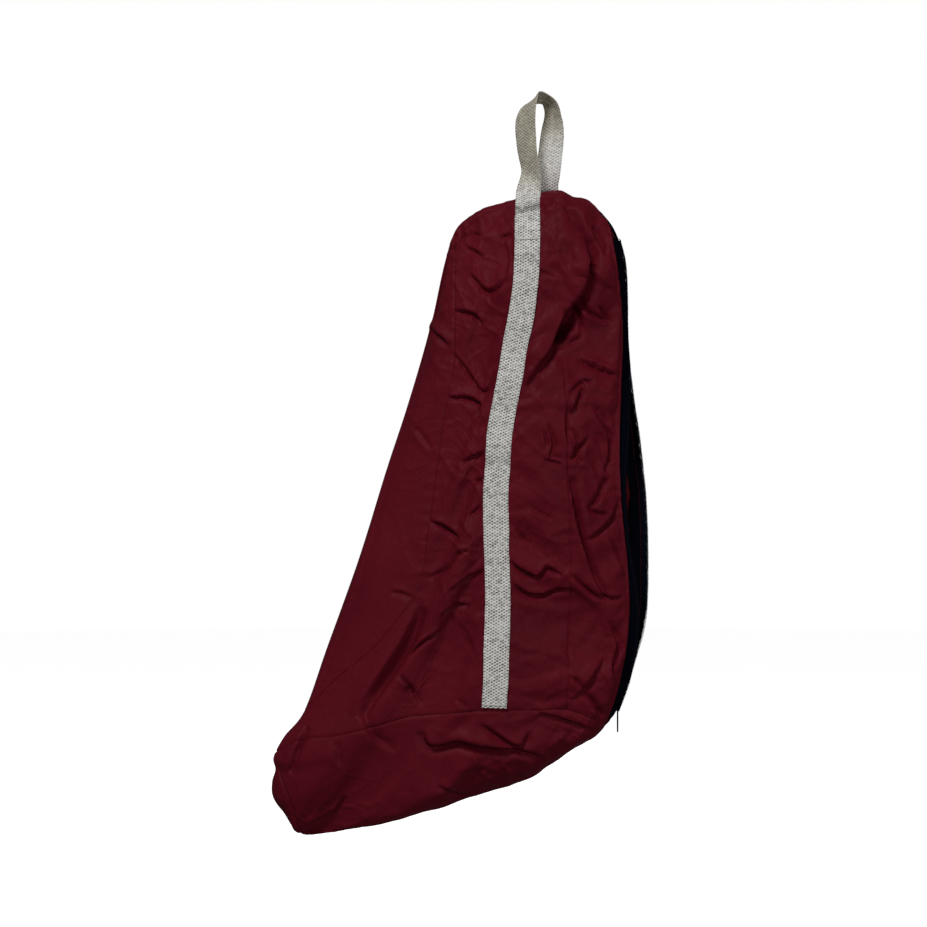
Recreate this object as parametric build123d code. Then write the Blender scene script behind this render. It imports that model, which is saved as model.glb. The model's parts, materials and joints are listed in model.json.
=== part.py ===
from build123d import *
import functools
import math
import os

# Boot-shaped soft travel case, hanging from its carry loop.
# Millimetres. Origin: the apex of the carry loop. +Z up, +X towards the zip and the heel,
# -X towards the toe, -Y the near side, +Y the far side.

# ---- driving dimensions -------------------------------------------------
WEBBING_WIDTH = 25.0  # carry strap and loop
WEBBING_THICK = 1.8
WALL = 2.4  # fabric panels, with their soft loft
TAPE_THICK = 0.9  # zip tape
COIL_THICK = 2.2  # zip coil, on the tape's outer face
COIL_WIDTH = 3.5
COIL_CLEARANCE = 1.0  # between the coil and the panel's edge
MOUTH_REACH = 30.0  # past the open side of the coil, to beyond the middle plane
TAPE_REACH = 30.0  # the tape's block, before it is cut at the panel
STOP_Z = -122.0  # top end of the zip
STOP_HEIGHT = 6.0
TAPE_SEWN = 8.0  # tape under the panel
BINDING_WIDTH = 8.0  # bias binding over each inner seam
BINDING_THICK = 0.8
HINGE_X = 25.0  # rear seams, which the back panels fold about
HINGE_GAP = 1.0
FLAP_TOP = -190.0  # the back panels are free to open between these heights
FLAP_BOTTOM = -556.0
LOOP_BASE_Z = -94.0  # where both ends of the carry loop are sewn to the bag
TACK_HEIGHT = 3.0  # bar tacks across the webbing
TACK_PROUD = 0.5
REACH = 200.0  # longer than any half width of the bag
OUTSIDE = 400.0  # a place well outside the bag, for closing cutting outlines

# ---- the bag's outer shape: toe-side point, heel-side point and half depth of each oval ----
SECTIONS = [
    ((-25, -106), (35, -104), 10),
    ((-50, -113), (47, -109), 20),
    ((-72, -125), (60, -121), 29),
    ((-85, -140), (71, -136), 36),
    ((-92, -157), (78, -152), 40),
    ((-104, -195), (83, -190), 44),
    ((-121, -260), (87, -255), 47),
    ((-144, -330), (95, -330), 48),
    ((-168, -400), (103, -400), 49),
    ((-190, -470), (106, -465), 50),
    ((-214, -540), (103, -522), 50),
    ((-240, -608), (94, -570), 50),
    ((-267, -650), (84, -600), 49),
    ((-274, -688), (77, -616), 47),
    ((-263, -719), (67, -632), 43),
    ((-243, -740), (42, -652), 36),
    ((-205, -741), (12, -673), 27),
    ((-165, -733), (-20, -691), 16),
]

# ---- seam and edge lines in the side view, (x, z) ------------------------
FRONT_SEAM = [
    (-90, -140), (-92, -260), (-112, -395), (-126, -494), (-171, -551), (-239, -613), (-268, -650),
]
FOOT_SEAM = [(-280, -660), (-242, -642), (-168, -627), (-46, -617), (19, -619), (75, -632)]
TOP_SEAM = [(-95, -156), (-62, -128), (-27, -118), (0, -113), (30, -114), (60, -132)]
SOLE_SEAM = [(-280, -652), (-258, -690), (-234, -733), (-173, -729), (-65, -699), (10, -667), (72, -634)]
NEAR_EDGE = [
    (50, -100), (70, -139), (78, -209), (79, -310), (79, -409), (86, -500), (83, -556), (74, -592), (62, -634),
]
FAR_EDGE = [
    (56, -100), (75, -139), (82, -209), (84, -310), (92, -390), (97, -480), (92, -556), (80, -592), (62, -634),
]
STRAP_LINE = [
    (-14, -96), (-15, -179), (-26, -254), (-37, -314), (-44, -380), (-45, -449), (-43, -509), (-47, -616),
]
TACK_PLACES = [(-47, -612), (-15, -150)]
# open edge of each half of the zip, (distance from the middle plane, z)
ZIP_LINES = {
    "near": [
        (4, -100), (4.5, -190), (9, -260), (14, -340), (18, -420), (19, -480), (13, -530), (5, -562), (4, -640),
    ],
    "far": [(4, -100), (4, -370), (4, -640)],
}

# ---- carry loop: centre of the webbing and how far its width is turned from +X, degrees ----
LOOP_STATIONS = [
    ((-10, -2.6, LOOP_BASE_Z), 0),
    ((-7.5, -3.6, -80), 6),
    ((-12.5, -6.0, -62), 26),
    ((-15, -7.5, -44), 37),
    ((-15.5, -7.0, -28), 42),
    ((-12, -4.0, -13), 62),
    ((-1.5, 0.0, -2.2), 90),
    ((8.5, 4.0, -13), 62),
    ((11.5, 7.0, -28), 48),
    ((11.5, 7.5, -44), 37),
    ((9.5, 6.0, -62), 26),
    ((5, 3.6, -80), 6),
    ((4, 2.6, LOOP_BASE_Z), 0),
]

# ---- zip slider: it runs on a straight stretch of the tapes above the heel ----
SLIDE_START = (72.5, -613.0)
SLIDE_END = (88.5, -569.0)
MOUTH_HALF = 9.5  # half width of the open zip there
COIL_INNER = 2.4  # half the gap between the two coils there
SLIDER_LENGTH = 14.0
SLIDER_WIDTH = 13.0
PLATE_THICK = 1.4
PLATE_CLEARANCE = 0.6
POST_WIDTH = 2.6
BRIDGE_WIDTH = 3.0
BRIDGE_LENGTH = 10.4
BRIDGE_LEG = 1.5
BRIDGE_WINDOW = 2.2
PULL_BAR = 1.4
PULL_ARM = 1.4
PULL_GAP = 0.7  # between each arm and the bridge
PULL_NECK = 5.0
PULL_LENGTH = 19.0
PULL_WIDTH = 8.0


# ---- helpers --------------------------------------------------------------
def at(point):
    """The point (x, z) of the side view, on the bag's middle plane."""
    return Vector(point[0], 0, point[1])


@functools.cache
def body(grow):
    """The bag's closed outer shape, grown outwards by this much."""
    ovals = []
    for i, (toe, heel, half_depth) in enumerate(SECTIONS):
        along = (at(heel) - at(toe)).normalized()
        up = along.cross(Vector(0, 1, 0))
        middle = (at(toe) + at(heel)) * 0.5
        if i == 0:
            middle += up * grow
        if i == len(SECTIONS) - 1:
            middle -= up * grow
        half_length = (at(heel) - at(toe)).length / 2
        plane = Plane(origin=middle, x_dir=along, z_dir=up)
        ovals.append(plane * Ellipse(half_length + grow, half_depth + grow))
    return loft(ovals)


def skin(where, outer, inner):
    """The part of the bag's wall inside a block, between two depths measured outwards from its outer face."""
    return (where & body(outer)) - body(inner)


def region(line, corners):
    """A block through the bag, bounded by a smooth line and straight sides in the side view."""
    edge = Spline([at(p) for p in line])
    rest = Polyline([at(p) for p in [line[-1], *corners, line[0]]])
    return extrude(make_face([edge, rest]), amount=REACH, dir=(0, 1, 0), both=True)


def band(line, dx, dz):
    """A block along a line, reaching dx and dz to each side of it in the side view."""
    one = Spline([at((x - dx, z - dz)) for x, z in line])
    other = Spline([at((x + dx, z + dz)) for x, z in line])
    ends = [Line(one @ 0, other @ 0), Line(one @ 1, other @ 1)]
    return extrude(make_face([one, other, *ends]), amount=REACH, dir=(0, 1, 0), both=True)


def zip_block(side, line, width):
    """A block through the bag's back, from one edge line of the open zip to this much further out."""
    one = Spline([Vector(0, side * y, z) for y, z in line])
    other = Spline([Vector(0, side * (y + width), z) for y, z in line])
    ends = [Line(one @ 0, other @ 0), Line(one @ 1, other @ 1)]
    return extrude(make_face([one, other, *ends]), amount=REACH, dir=(1, 0, 0))


def block(x, y, z):
    """A box between pairs of limits."""
    size = [high - low for low, high in (x, y, z)]
    middle = [(high + low) / 2 for low, high in (x, y, z)]
    return Pos(*middle) * Box(*size)


def half(side, gap=0.0):
    """Everything on the near (-1) or far (+1) side, at least gap from the middle plane."""
    limits = sorted((side * gap, side * REACH))
    return block((-OUTSIDE, OUTSIDE), limits, (-2 * OUTSIDE, OUTSIDE))


def between(low, high):
    """Everything between two heights."""
    return block((-OUTSIDE, OUTSIDE), (-REACH, REACH), (low, high))


def shifted(line, dx):
    return [(x + dx, z) for x, z in line]


def save(shape, node):
    """Writes a node's solids as one STEP file."""
    solids = [s for s in shape.solids() if s.volume > 1.0]
    export_step(Compound(children=solids) if len(solids) > 1 else solids[0], f"parts/{node}.step")


SIDES = {"near": -1, "far": 1}
EDGES = {"near": NEAR_EDGE, "far": FAR_EDGE}

# ---- cutting regions --------------------------------------------------------
left_of_front = region(FRONT_SEAM, [(-OUTSIDE, -650), (-OUTSIDE, -140)])
below_foot = region(FOOT_SEAM, [(OUTSIDE, -632), (OUTSIDE, -900), (-OUTSIDE, -900), (-OUTSIDE, -660)])
above_top = region(TOP_SEAM, [(60, 0), (-95, 0)])
outside_sole = region(SOLE_SEAM, [(OUTSIDE, -634), (OUTSIDE, -900), (-OUTSIDE, -900), (-OUTSIDE, -652)])
behind_seam = block((HINGE_X, OUTSIDE), (-REACH, REACH), (-2 * OUTSIDE, OUTSIDE))
behind_hinge = block((HINGE_X + HINGE_GAP, OUTSIDE), (-REACH, REACH), (FLAP_BOTTOM, FLAP_TOP))
end_heights = [between(-700, FLAP_BOTTOM - HINGE_GAP), between(FLAP_TOP + HINGE_GAP, 0)]

# the straight stretch of the zip above the heel
slide_way = (at(SLIDE_END) - at(SLIDE_START)).normalized()
slide_out = Vector(0, 1, 0).cross(slide_way)
slide_plane = Plane(origin=at(SLIDE_START), x_dir=(0, 1, 0), z_dir=slide_out)
# in slide_plane: local x is +Y, local y is up the zip, local z is out of the bag
slide_length = (at(SLIDE_END) - at(SLIDE_START)).length


def on_slide(x, y, z):
    """A box in the zip's own frame: across, along and out of it."""
    return slide_plane * block(x, y, z)


heel_mouth = on_slide((-MOUTH_HALF, MOUTH_HALF), (-20, slide_length + 30), (-14, 30))


# ---- panels ---------------------------------------------------------------
def make_panels():
    shell = body(0) - body(-WALL)
    upper = shell - below_foot
    lower = shell & below_foot
    front = (upper & left_of_front) - above_top
    save(front, "front_gusset")
    middle = upper - left_of_front
    save((middle & above_top) - behind_seam, "top_gusset")
    save(lower & outside_sole, "sole_panel")
    for name, side in SIDES.items():
        save(((middle - above_top) - behind_seam) & half(side), f"side_panel_{name}")
        save((lower - outside_sole) & half(side), f"foot_panel_{name}")
        past_edge = region(EDGES[name], [(OUTSIDE, -634), (OUTSIDE, -100)])
        coil_room = zip_block(side, ZIP_LINES[name], COIL_WIDTH + COIL_CLEARANCE)
        mouth = zip_block(side, ZIP_LINES[name], -MOUTH_REACH)
        back = ((upper - past_edge - coil_room) & half(side)) - mouth
        save(back & behind_hinge, f"back_panel_{name}")
        ends = (back & behind_seam) - heel_mouth
        save(Part() + [ends & heights for heights in end_heights], f"back_panel_ends_{name}")


# ---- webbing -----------------------------------------------------------------
def make_straps():
    webbing = skin(band(STRAP_LINE, WEBBING_WIDTH / 2, 0), WEBBING_THICK, 0)
    tack_reach = WEBBING_WIDTH / 2 - 1.5
    tacks = Part()
    for x, z in TACK_PLACES:
        place = block((x - tack_reach, x + tack_reach), (-REACH, REACH), (z, z + TACK_HEIGHT))
        tacks += skin(place, WEBBING_THICK + TACK_PROUD, WEBBING_THICK)
    save(tacks, "strap_bar_tacks")
    for name, side in SIDES.items():
        save(webbing & half(side, 3.0), f"strap_{name}")


def make_loop():
    """The carry loop: webbing that turns on edge as it passes over the apex."""
    centres = Spline([Vector(*point) for point, turn in LOOP_STATIONS])
    faces = []
    for i, (point, turn) in enumerate(LOOP_STATIONS):
        tangent = centres % centres.param_at_point(Vector(*point))
        if i == 0:
            tangent = Vector(0, 0, 1)
        if i == len(LOOP_STATIONS) - 1:
            tangent = Vector(0, 0, -1)
        across = Vector(math.cos(math.radians(turn)), -math.sin(math.radians(turn)), 0)
        across = (across - tangent * across.dot(tangent)).normalized()
        plane = Plane(origin=Vector(*point), x_dir=across, z_dir=tangent)
        faces.append(plane * Rectangle(WEBBING_WIDTH, WEBBING_THICK))
    save(loft(faces), "carry_loop")


# ---- seam bindings inside the bag ------------------------------------------------
def make_bindings():
    half_width = BINDING_WIDTH / 2
    front = band(FRONT_SEAM, half_width, 0) & between(-635, -160)
    rear = block((HINGE_X - BINDING_WIDTH, HINGE_X - 0.5), (-REACH, REACH), (-606, -130))
    foot = (band(FOOT_SEAM, 0, half_width) & block((-255, 20), (-REACH, REACH), (-700, -500))) - front
    for name, side in SIDES.items():
        for seam, where in (("front", front), ("rear", rear), ("foot", foot)):
            strip = skin(where & half(side, 2.0), -WALL, -WALL - BINDING_THICK)
            save(strip, f"{seam}_seam_binding_{name}")


# ---- zip -----------------------------------------------------------------------------
def make_zip():
    stops = Part()
    for name, side in SIDES.items():
        past_edge = region(shifted(EDGES[name], -TAPE_SEWN), [(OUTSIDE, -634), (OUTSIDE, -100)])
        tape_block = zip_block(side, ZIP_LINES[name], TAPE_REACH) & past_edge
        coil_block = zip_block(side, ZIP_LINES[name], COIL_WIDTH)
        free = between(FLAP_BOTTOM, FLAP_TOP)
        top_tape = between(FLAP_TOP + HINGE_GAP, STOP_Z)
        top_coil = between(FLAP_TOP + HINGE_GAP, STOP_Z - STOP_HEIGHT)
        top_stop = between(STOP_Z - STOP_HEIGHT, STOP_Z)
        save(skin(tape_block & free, -WALL, -WALL - TAPE_THICK), f"zip_tape_{name}")
        save(skin(coil_block & free, -WALL + COIL_THICK, -WALL), f"zip_coil_{name}")

        # the heel stretch lies flat across the mouth, where the slider runs
        across = sorted((side * COIL_INNER, side * TAPE_REACH))
        coil_across = sorted((side * COIL_INNER, side * (COIL_INNER + COIL_WIDTH)))
        below_flap = between(-700, FLAP_BOTTOM - HINGE_GAP)
        flat = on_slide(across, (-12, slide_length + 20), (-TAPE_THICK, 0)) & body(-WALL) & below_flap
        flat_coil = on_slide(coil_across, (-9, slide_length + 20), (0, COIL_THICK)) & below_flap
        save(skin(tape_block & top_tape, -WALL, -WALL - TAPE_THICK) + flat, f"zip_tape_ends_{name}")
        save(skin(coil_block & top_coil, -WALL + COIL_THICK, -WALL) + flat_coil, f"zip_coil_ends_{name}")
        stops += skin(coil_block & top_stop, -WALL + COIL_THICK + 0.4, -WALL)
    save(stops, "zip_top_stops")
    save(on_slide((-6.5, 6.5), (-13, -9), (0, COIL_THICK + 0.4)), "zip_bottom_stop")


# ---- slider and its pull tab --------------------------------------------------------------
def make_slider():
    inner = COIL_THICK + PLATE_CLEARANCE
    outer = inner + PLATE_THICK
    below = -TAPE_THICK - PLATE_CLEARANCE
    half_length = SLIDER_LENGTH / 2
    half_width = SLIDER_WIDTH / 2
    plates = Part()
    for heights in ((inner, outer), (below - PLATE_THICK, below)):
        plates += on_slide((-half_width, half_width), (-half_length, half_length), heights)
    nose = on_slide((-POST_WIDTH / 2, POST_WIDTH / 2), (half_length - 4, half_length), (below, inner))
    frame = plates + nose
    upright = frame.edges().filter_by(Axis(at(SLIDE_START), slide_out))
    corners = [edge for edge in upright if abs(edge.center().Y) > half_width - 0.1]
    save(fillet(corners, 3.0), "slider_body")

    reach = BRIDGE_LENGTH / 2
    top = outer + BRIDGE_WINDOW + BRIDGE_LEG
    arch = on_slide((-BRIDGE_WIDTH / 2, BRIDGE_WIDTH / 2), (-reach, reach), (outer, top))
    window = on_slide((-5, 5), (-reach + BRIDGE_LEG, reach - BRIDGE_LEG), (outer, outer + BRIDGE_WINDOW))
    save(arch - window, "slider_bridge")

    # the pull tab hangs straight down from its bar, which lies in the bridge's window
    bar_along = -reach + BRIDGE_LEG + PULL_BAR / 2 + 0.4
    bar_out = outer + BRIDGE_WINDOW / 2
    pivot = at(SLIDE_START) + slide_way * bar_along + slide_out * bar_out
    arm_in = BRIDGE_WIDTH / 2 + PULL_GAP
    arm_out = arm_in + PULL_ARM
    bar = Pos(*pivot) * Rot(90, 0, 0) * Cylinder(PULL_BAR / 2, 2 * arm_out)
    arms = Part()
    for side in SIDES.values():
        across = sorted((side * arm_in, side * arm_out))
        arms += Pos(*pivot) * block((-PULL_BAR / 2, PULL_BAR / 2), across, (-PULL_NECK - 3, 0))
    tab_face = Pos(0, -PULL_NECK - PULL_LENGTH / 2) * SlotOverall(PULL_LENGTH, PULL_WIDTH, rotation=90)
    tab_plane = Plane(origin=pivot, x_dir=(0, 1, 0), z_dir=(1, 0, 0))
    tab = extrude(tab_plane * tab_face, amount=PULL_BAR / 2, both=True)
    tip = -PULL_NECK - PULL_LENGTH
    hole = Pos(*pivot) * block((-5, 5), (-1.6, 1.6), (tip + 3, tip + 9))
    save(bar + arms + tab - hole, "pull_tab")


os.makedirs("parts", exist_ok=True)
make_panels()
make_straps()
make_loop()
make_bindings()
make_zip()
make_slider()
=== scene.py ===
import json
import math

import bpy
import numpy as np
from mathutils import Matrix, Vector


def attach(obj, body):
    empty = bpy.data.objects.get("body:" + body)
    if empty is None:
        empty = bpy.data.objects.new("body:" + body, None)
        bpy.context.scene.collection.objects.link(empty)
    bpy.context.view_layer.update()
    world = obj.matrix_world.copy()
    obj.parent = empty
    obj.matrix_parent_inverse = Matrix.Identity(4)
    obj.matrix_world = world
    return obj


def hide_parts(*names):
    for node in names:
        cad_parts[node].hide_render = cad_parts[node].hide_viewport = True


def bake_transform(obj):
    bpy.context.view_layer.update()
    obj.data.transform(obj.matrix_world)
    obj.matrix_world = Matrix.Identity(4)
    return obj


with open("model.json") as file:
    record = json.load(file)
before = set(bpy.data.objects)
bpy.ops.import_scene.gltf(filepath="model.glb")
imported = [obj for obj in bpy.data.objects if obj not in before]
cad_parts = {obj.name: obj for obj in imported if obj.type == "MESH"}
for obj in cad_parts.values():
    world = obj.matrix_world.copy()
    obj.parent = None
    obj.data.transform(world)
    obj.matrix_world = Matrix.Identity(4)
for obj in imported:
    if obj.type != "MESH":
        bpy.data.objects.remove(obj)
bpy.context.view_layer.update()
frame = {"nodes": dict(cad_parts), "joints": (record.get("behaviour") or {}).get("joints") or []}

# Boot-shaped soft travel case, in the CAD frame: origin at the apex of the carry loop, +X towards the zip and
# the heel, -X towards the toe, -Y the near side, +Z up. Sizes are in millimetres where no comment says
# otherwise, and new_mesh turns them into metres. phi is the angle round the bag, 0 at the front and pi at the
# zip, and a signed phi is positive on the near side; psi is the row, 0 at the top and 1 under the foot.
MM = 0.001
SIDES = {"near": -1.0, "far": 1.0}
joints = {joint["name"]: joint for joint in frame["joints"]}
FLAP_MIDDLE = joints["near_flap_open"]["pos_m"][2] / MM  # the height at which each flap is cut in two

# ---- side view of the bag, millimetres (x, z) ------------------------------
FRONT_LINE = [(-90, -150), (-100, -179), (-110, -221), (-115, -232), (-117, -244), (-139, -314), (-159, -374),
              (-187, -464), (-219, -554), (-240, -614), (-261, -641), (-271, -661), (-269, -673),
              (-272.5, -686), (-271, -702), (-257, -725), (-243, -741)]
BACK_LINE = [(78, -150), (84, -180), (86, -254), (92, -310), (98, -350), (104, -410), (106, -479),
             (103, -534), (92, -578), (80, -612), (68, -630)]
TOP_LINE = [(-90, -150), (-81, -134), (-60, -119), (-41, -113), (-20, -107), (0, -102), (19, -100),
            (32, -106), (46, -109), (58, -120), (70, -134), (78, -150)]
BOTTOM_LINE = [(-243, -741), (-228, -743), (-173, -734), (-111, -719), (-65, -704), (-17, -689), (8, -674),
               (30, -659), (53, -645), (68, -630)]
FRONT_SEAM = [(-91, -120), (-90, -170), (-91, -260), (-99, -312), (-112, -395), (-119, -447), (-126, -494),
              (-145, -520), (-171, -551), (-208, -582), (-240, -613), (-275, -640), (-300, -660)]
REAR_SEAM = [(19, -100), (19, -200), (22, -280), (24, -330), (27, -447), (27, -499), (26, -551), (24, -640)]
NEAR_EDGE = [(52, -108), (66, -132), (73, -165), (78, -209), (80, -249), (78, -300), (77, -369), (80, -425),
             (86, -490), (85, -540), (79, -580), (72, -609), (60, -640)]
FAR_EDGE = [(57, -110), (70, -136), (77, -170), (80, -250), (84, -329), (86, -370), (93, -400), (93.5, -440),
            (93, -480), (93, -500), (90, -549), (81, -590), (64, -635)]
NEAR_OPEN = [(60, -105), (78, -132), (84, -165), (87, -209), (89, -249), (87, -289), (85, -343), (82, -385),
             (81.5, -418), (84, -450), (94, -500), (93, -555), (80, -613), (66, -636)]
FOOT_SEAM = [(-300, -666), (-271, -656), (-242, -642), (-214, -639), (-181, -632), (-138, -623), (-76, -618),
             (-1, -617), (24, -617), (50, -625), (80, -636)]
TOP_SEAM = [(-120, -190), (-89, -154), (-80, -139), (-60, -124), (-41, -118), (-20, -112), (0, -107),
            (19, -105), (32, -111), (46, -114), (58, -125), (72, -141), (90, -170)]
TOE_SEAM = [(-285, -640), (-271, -656), (-264, -680), (-256, -699), (-248, -722), (-240, -745)]
STRAP_LINE = [(-13, -100), (-14, -125), (-15, -179), (-20, -224), (-26, -254), (-31, -284), (-37, -314),
              (-42, -344), (-43.5, -374), (-45.5, -404), (-45, -449), (-43.5, -509), (-45, -559), (-47, -615)]
FAR_STRAP_LINE = [(6.5, -100), (4, -125), (-5, -179), (-17, -224), (-25, -254), (-37, -314), (-43, -374),
                  (-45, -449), (-44, -509), (-47, -615)]
HALF_DEPTH = 49.0
TOP_ROUND = 0.13  # share of the height over which the top rounds over
BOTTOM_ROUND = 0.19  # and over which the bottom does
TOP_DEPTH = 0.88  # share of the full depth at the top
FULL_DEPTH_AT = 0.35  # share of the height at which the depth is full


def step_up(value, low, high):
    """0 below low, 1 above high, smooth between."""
    t = np.clip((value - low) / (high - low), 0, 1)
    return t * t * (3 - 2 * t)


def unit(values):
    """The same directions, each of length one."""
    return values / np.maximum(np.linalg.norm(values, axis=-1, keepdims=True), 1e-9)


def distances(line):
    """How far along a line each of its points is."""
    return np.concatenate([[0], np.cumsum(np.linalg.norm(np.diff(line, axis=0), axis=1))])


def read_at(places, given, values):
    """The columns of a table, known at the given places, read at other places."""
    return np.stack([np.interp(places, given, column) for column in values.T], -1)


def soften(values, passes):
    """A moving average that keeps the ends."""
    for step in range(passes):
        inner = (values[:-2] + 2 * values[1:-1] + values[2:]) / 4
        values = np.concatenate([values[:1], inner, values[-1:]])
    return values


def smooth(points, count, steps=24):
    """Points on a Catmull-Rom curve, evenly spaced by the distance in their first three numbers."""
    p = np.array(points, float)
    padded = np.vstack([2 * p[0] - p[1], p, 2 * p[-1] - p[-2]])
    t = np.linspace(0, 1, steps, endpoint=False)[:, None]
    parts = []
    for a, b, c, d in zip(padded, padded[1:], padded[2:], padded[3:]):
        cubic = (2 * a - 5 * b + 4 * c - d) * t**2 + (3 * b - a - 3 * c + d) * t**3
        parts.append((2 * b + (c - a) * t + cubic) / 2)
    line = np.vstack(parts + [p[-1:]])
    along = distances(line[:, :3])
    return read_at(np.linspace(0, along[-1], count), along, line)


class Curve:
    """A side-view line, read at shares of its length or as x of z or z of x."""

    def __init__(self, points):
        self.points = smooth(points, 400)

    def at(self, share):
        place = np.clip(share, 0, 1) * (len(self.points) - 1)
        index = np.arange(len(self.points))
        return read_at(place, index, self.points)

    def x_of_z(self, z):
        order = np.argsort(self.points[:, 1])
        return np.interp(z, self.points[order, 1], self.points[order, 0])

    def z_of_x(self, x):
        order = np.argsort(self.points[:, 0])
        return np.interp(x, self.points[order, 0], self.points[order, 1])


front, back, top, bottom = (Curve(line) for line in (FRONT_LINE, BACK_LINE, TOP_LINE, BOTTOM_LINE))


def height_share(psi):
    """Rows close up towards the rounded top and bottom."""
    slope = 1 - TOP_ROUND - BOTTOM_ROUND + math.pi / 2 * (TOP_ROUND + BOTTOM_ROUND)
    p0 = TOP_ROUND * math.pi / 2 / slope
    p1 = BOTTOM_ROUND * math.pi / 2 / slope
    low = TOP_ROUND * (1 - np.cos(np.clip(psi / p0, 0, 1) * math.pi / 2))
    high = BOTTOM_ROUND * (1 - np.cos(np.clip((1 - psi) / p1, 0, 1) * math.pi / 2))
    middle = TOP_ROUND + (psi - p0) * slope
    return np.where(psi < p0, low, np.where(psi > 1 - p1, 1 - high, middle))


def side_view(u, v):
    """The Coons patch between the four outline curves."""
    u, v = u[..., None], v[..., None]
    f, b = front.at(v[..., 0]), back.at(v[..., 0])
    t, o = top.at(u[..., 0]), bottom.at(u[..., 0])
    corners = [np.array(c, float) for c in (TOP_LINE[0], TOP_LINE[-1], BOTTOM_LINE[0], BOTTOM_LINE[-1])]
    blend = (1 - u) * (1 - v) * corners[0] + u * (1 - v) * corners[1]
    blend = blend + (1 - u) * v * corners[2] + u * v * corners[3]
    return (1 - u) * f + u * b + (1 - v) * t + v * o - blend


def depth(phi, v):
    """Half depth of the bag: an oval across it, rounded over at the top and the bottom."""
    a = np.clip((TOP_ROUND - v) / TOP_ROUND, 0, 1)
    b = np.clip((v - 1 + BOTTOM_ROUND) / BOTTOM_ROUND, 0, 1)
    down = np.sqrt(np.clip(1 - a**2, 0, 1)) * np.sqrt(np.clip(1 - b**2, 0, 1))
    widest = HALF_DEPTH * (TOP_DEPTH + (1 - TOP_DEPTH) * np.clip(v / FULL_DEPTH_AT, 0, 1))
    return widest * np.sin(phi) * down


def base(side, phi, psi):
    """Rest position of the fabric at angle phi and row psi."""
    v = height_share(psi)
    u = (1 - np.cos(phi)) / 2
    flat = side_view(u, v)
    return np.stack([flat[..., 0], SIDES[side] * depth(phi, v), flat[..., 1]], -1)


# ---- the simulated skin -----------------------------------------------------
COLUMNS = 64
ROWS = 141
PSI = np.linspace(0, 1, ROWS)
EDGES = {"near": NEAR_EDGE, "far": FAR_EDGE}
EDGE_GAP = 0.10  # how near the middle line of the zip a panel's edge may come, in radians
SHARED_ROWS = 0.04  # rows over which the two edges part
SIM_FRAMES = 30
MOVE_LIMIT = 12.0
HELD_ROWS = 3  # rows held at the top and under the foot
TOP_HOLD, LOW_HOLD, STRAP_HOLD = 0.6, 0.4, 0.5  # how firmly; the edges beside the zip are held at 1
HELD_BY_STRAP = 11.0
CLOTH = {
    "quality": 6,
    "mass": 0.12,
    "tension_stiffness": 25,
    "compression_stiffness": 25,
    "shear_stiffness": 8,
    "bending_stiffness": 0.08,
    "air_damping": 2,
    "vertex_group_mass": "held",
    "pin_stiffness": 1.0,
    "shrink_min": -0.045,
    "shrink_max": -0.045,
    "use_pressure": True,
    "uniform_pressure_force": 0.6,
}
CLOTH_GRAVITY = 0.25


def crossing(low, high, misfit):
    """For each column of the misfit, the place between low and high at which it changes sign."""
    tries = np.linspace(low, high, 500)
    found = misfit(tries)
    change = np.argmax(found > 0, axis=0)
    change = np.clip(change, 1, len(tries) - 1)
    cols = np.arange(found.shape[1])
    a, b = found[change - 1, cols], found[change, cols]
    share = np.clip(-a / np.where(np.abs(b - a) < 1e-9, 1, b - a), 0, 1)
    return tries[change - 1] + share * (tries[change] - tries[change - 1])


def phi_of_line(side, line, offset=0.0):
    """The angle at which each row of PSI meets a mostly upright side-view line."""
    curve = Curve(line)

    def misfit(tries):
        p = base(side, *np.meshgrid(tries, PSI, indexing="ij"))
        return p[..., 0] - curve.x_of_z(p[..., 2]) - offset

    return crossing(0.0, math.pi, misfit)


def psi_of_line(side, line, phi):
    """The row at which each angle meets a mostly level side-view line."""
    curve = Curve(line)

    def misfit(tries):
        rows, angles = np.meshgrid(tries, phi, indexing="ij")
        p = base(side, angles, rows)
        return curve.z_of_x(p[..., 0]) - p[..., 2]

    return crossing(0.0, 1.0, misfit)


def panel_ends():
    """Each side's angle at the zip in each row; both end at one shared angle in the top and bottom rows."""
    ends = {side: np.minimum(phi_of_line(side, EDGES[side]), math.pi - EDGE_GAP) for side in SIDES}
    shared = np.where(PSI < 0.5, ends["near"][0] / 2 + ends["far"][0] / 2, math.pi - EDGE_GAP)
    away = step_up(np.minimum(PSI, 1 - PSI), 0.0, SHARED_ROWS)
    return shared[0], {side: shared + (end - shared) * away for side, end in ends.items()}


top_end, panel_end = panel_ends()


def skin_grid(side):
    """The angles and rows of the simulated skin's grid on one side."""
    share = np.linspace(0, 1, COLUMNS + 1)
    phi = share[None, :] * panel_end[side][:, None]
    psi = np.repeat(PSI[:, None], COLUMNS + 1, 1)
    return phi, psi


def new_mesh(name, points, faces, unit=MM):
    """A mesh object from points in millimetres, or in another unit."""
    mesh = bpy.data.meshes.new(name)
    mesh.from_pydata((np.asarray(points, float) * unit).tolist(), [], faces)
    mesh.shade_smooth()
    piece = bpy.data.objects.new(name, mesh)
    bpy.context.scene.collection.objects.link(piece)
    return piece


def grid_faces(rows, cols, first=0, flip=False):
    """Quads of a grid of points stored row by row."""
    faces = []
    for j in range(rows - 1):
        for i in range(cols - 1):
            a = first + j * cols + i
            quad = (a, a + 1, a + cols + 1, a + cols)
            faces.append(quad[::-1] if flip else quad)
    return faces


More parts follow.
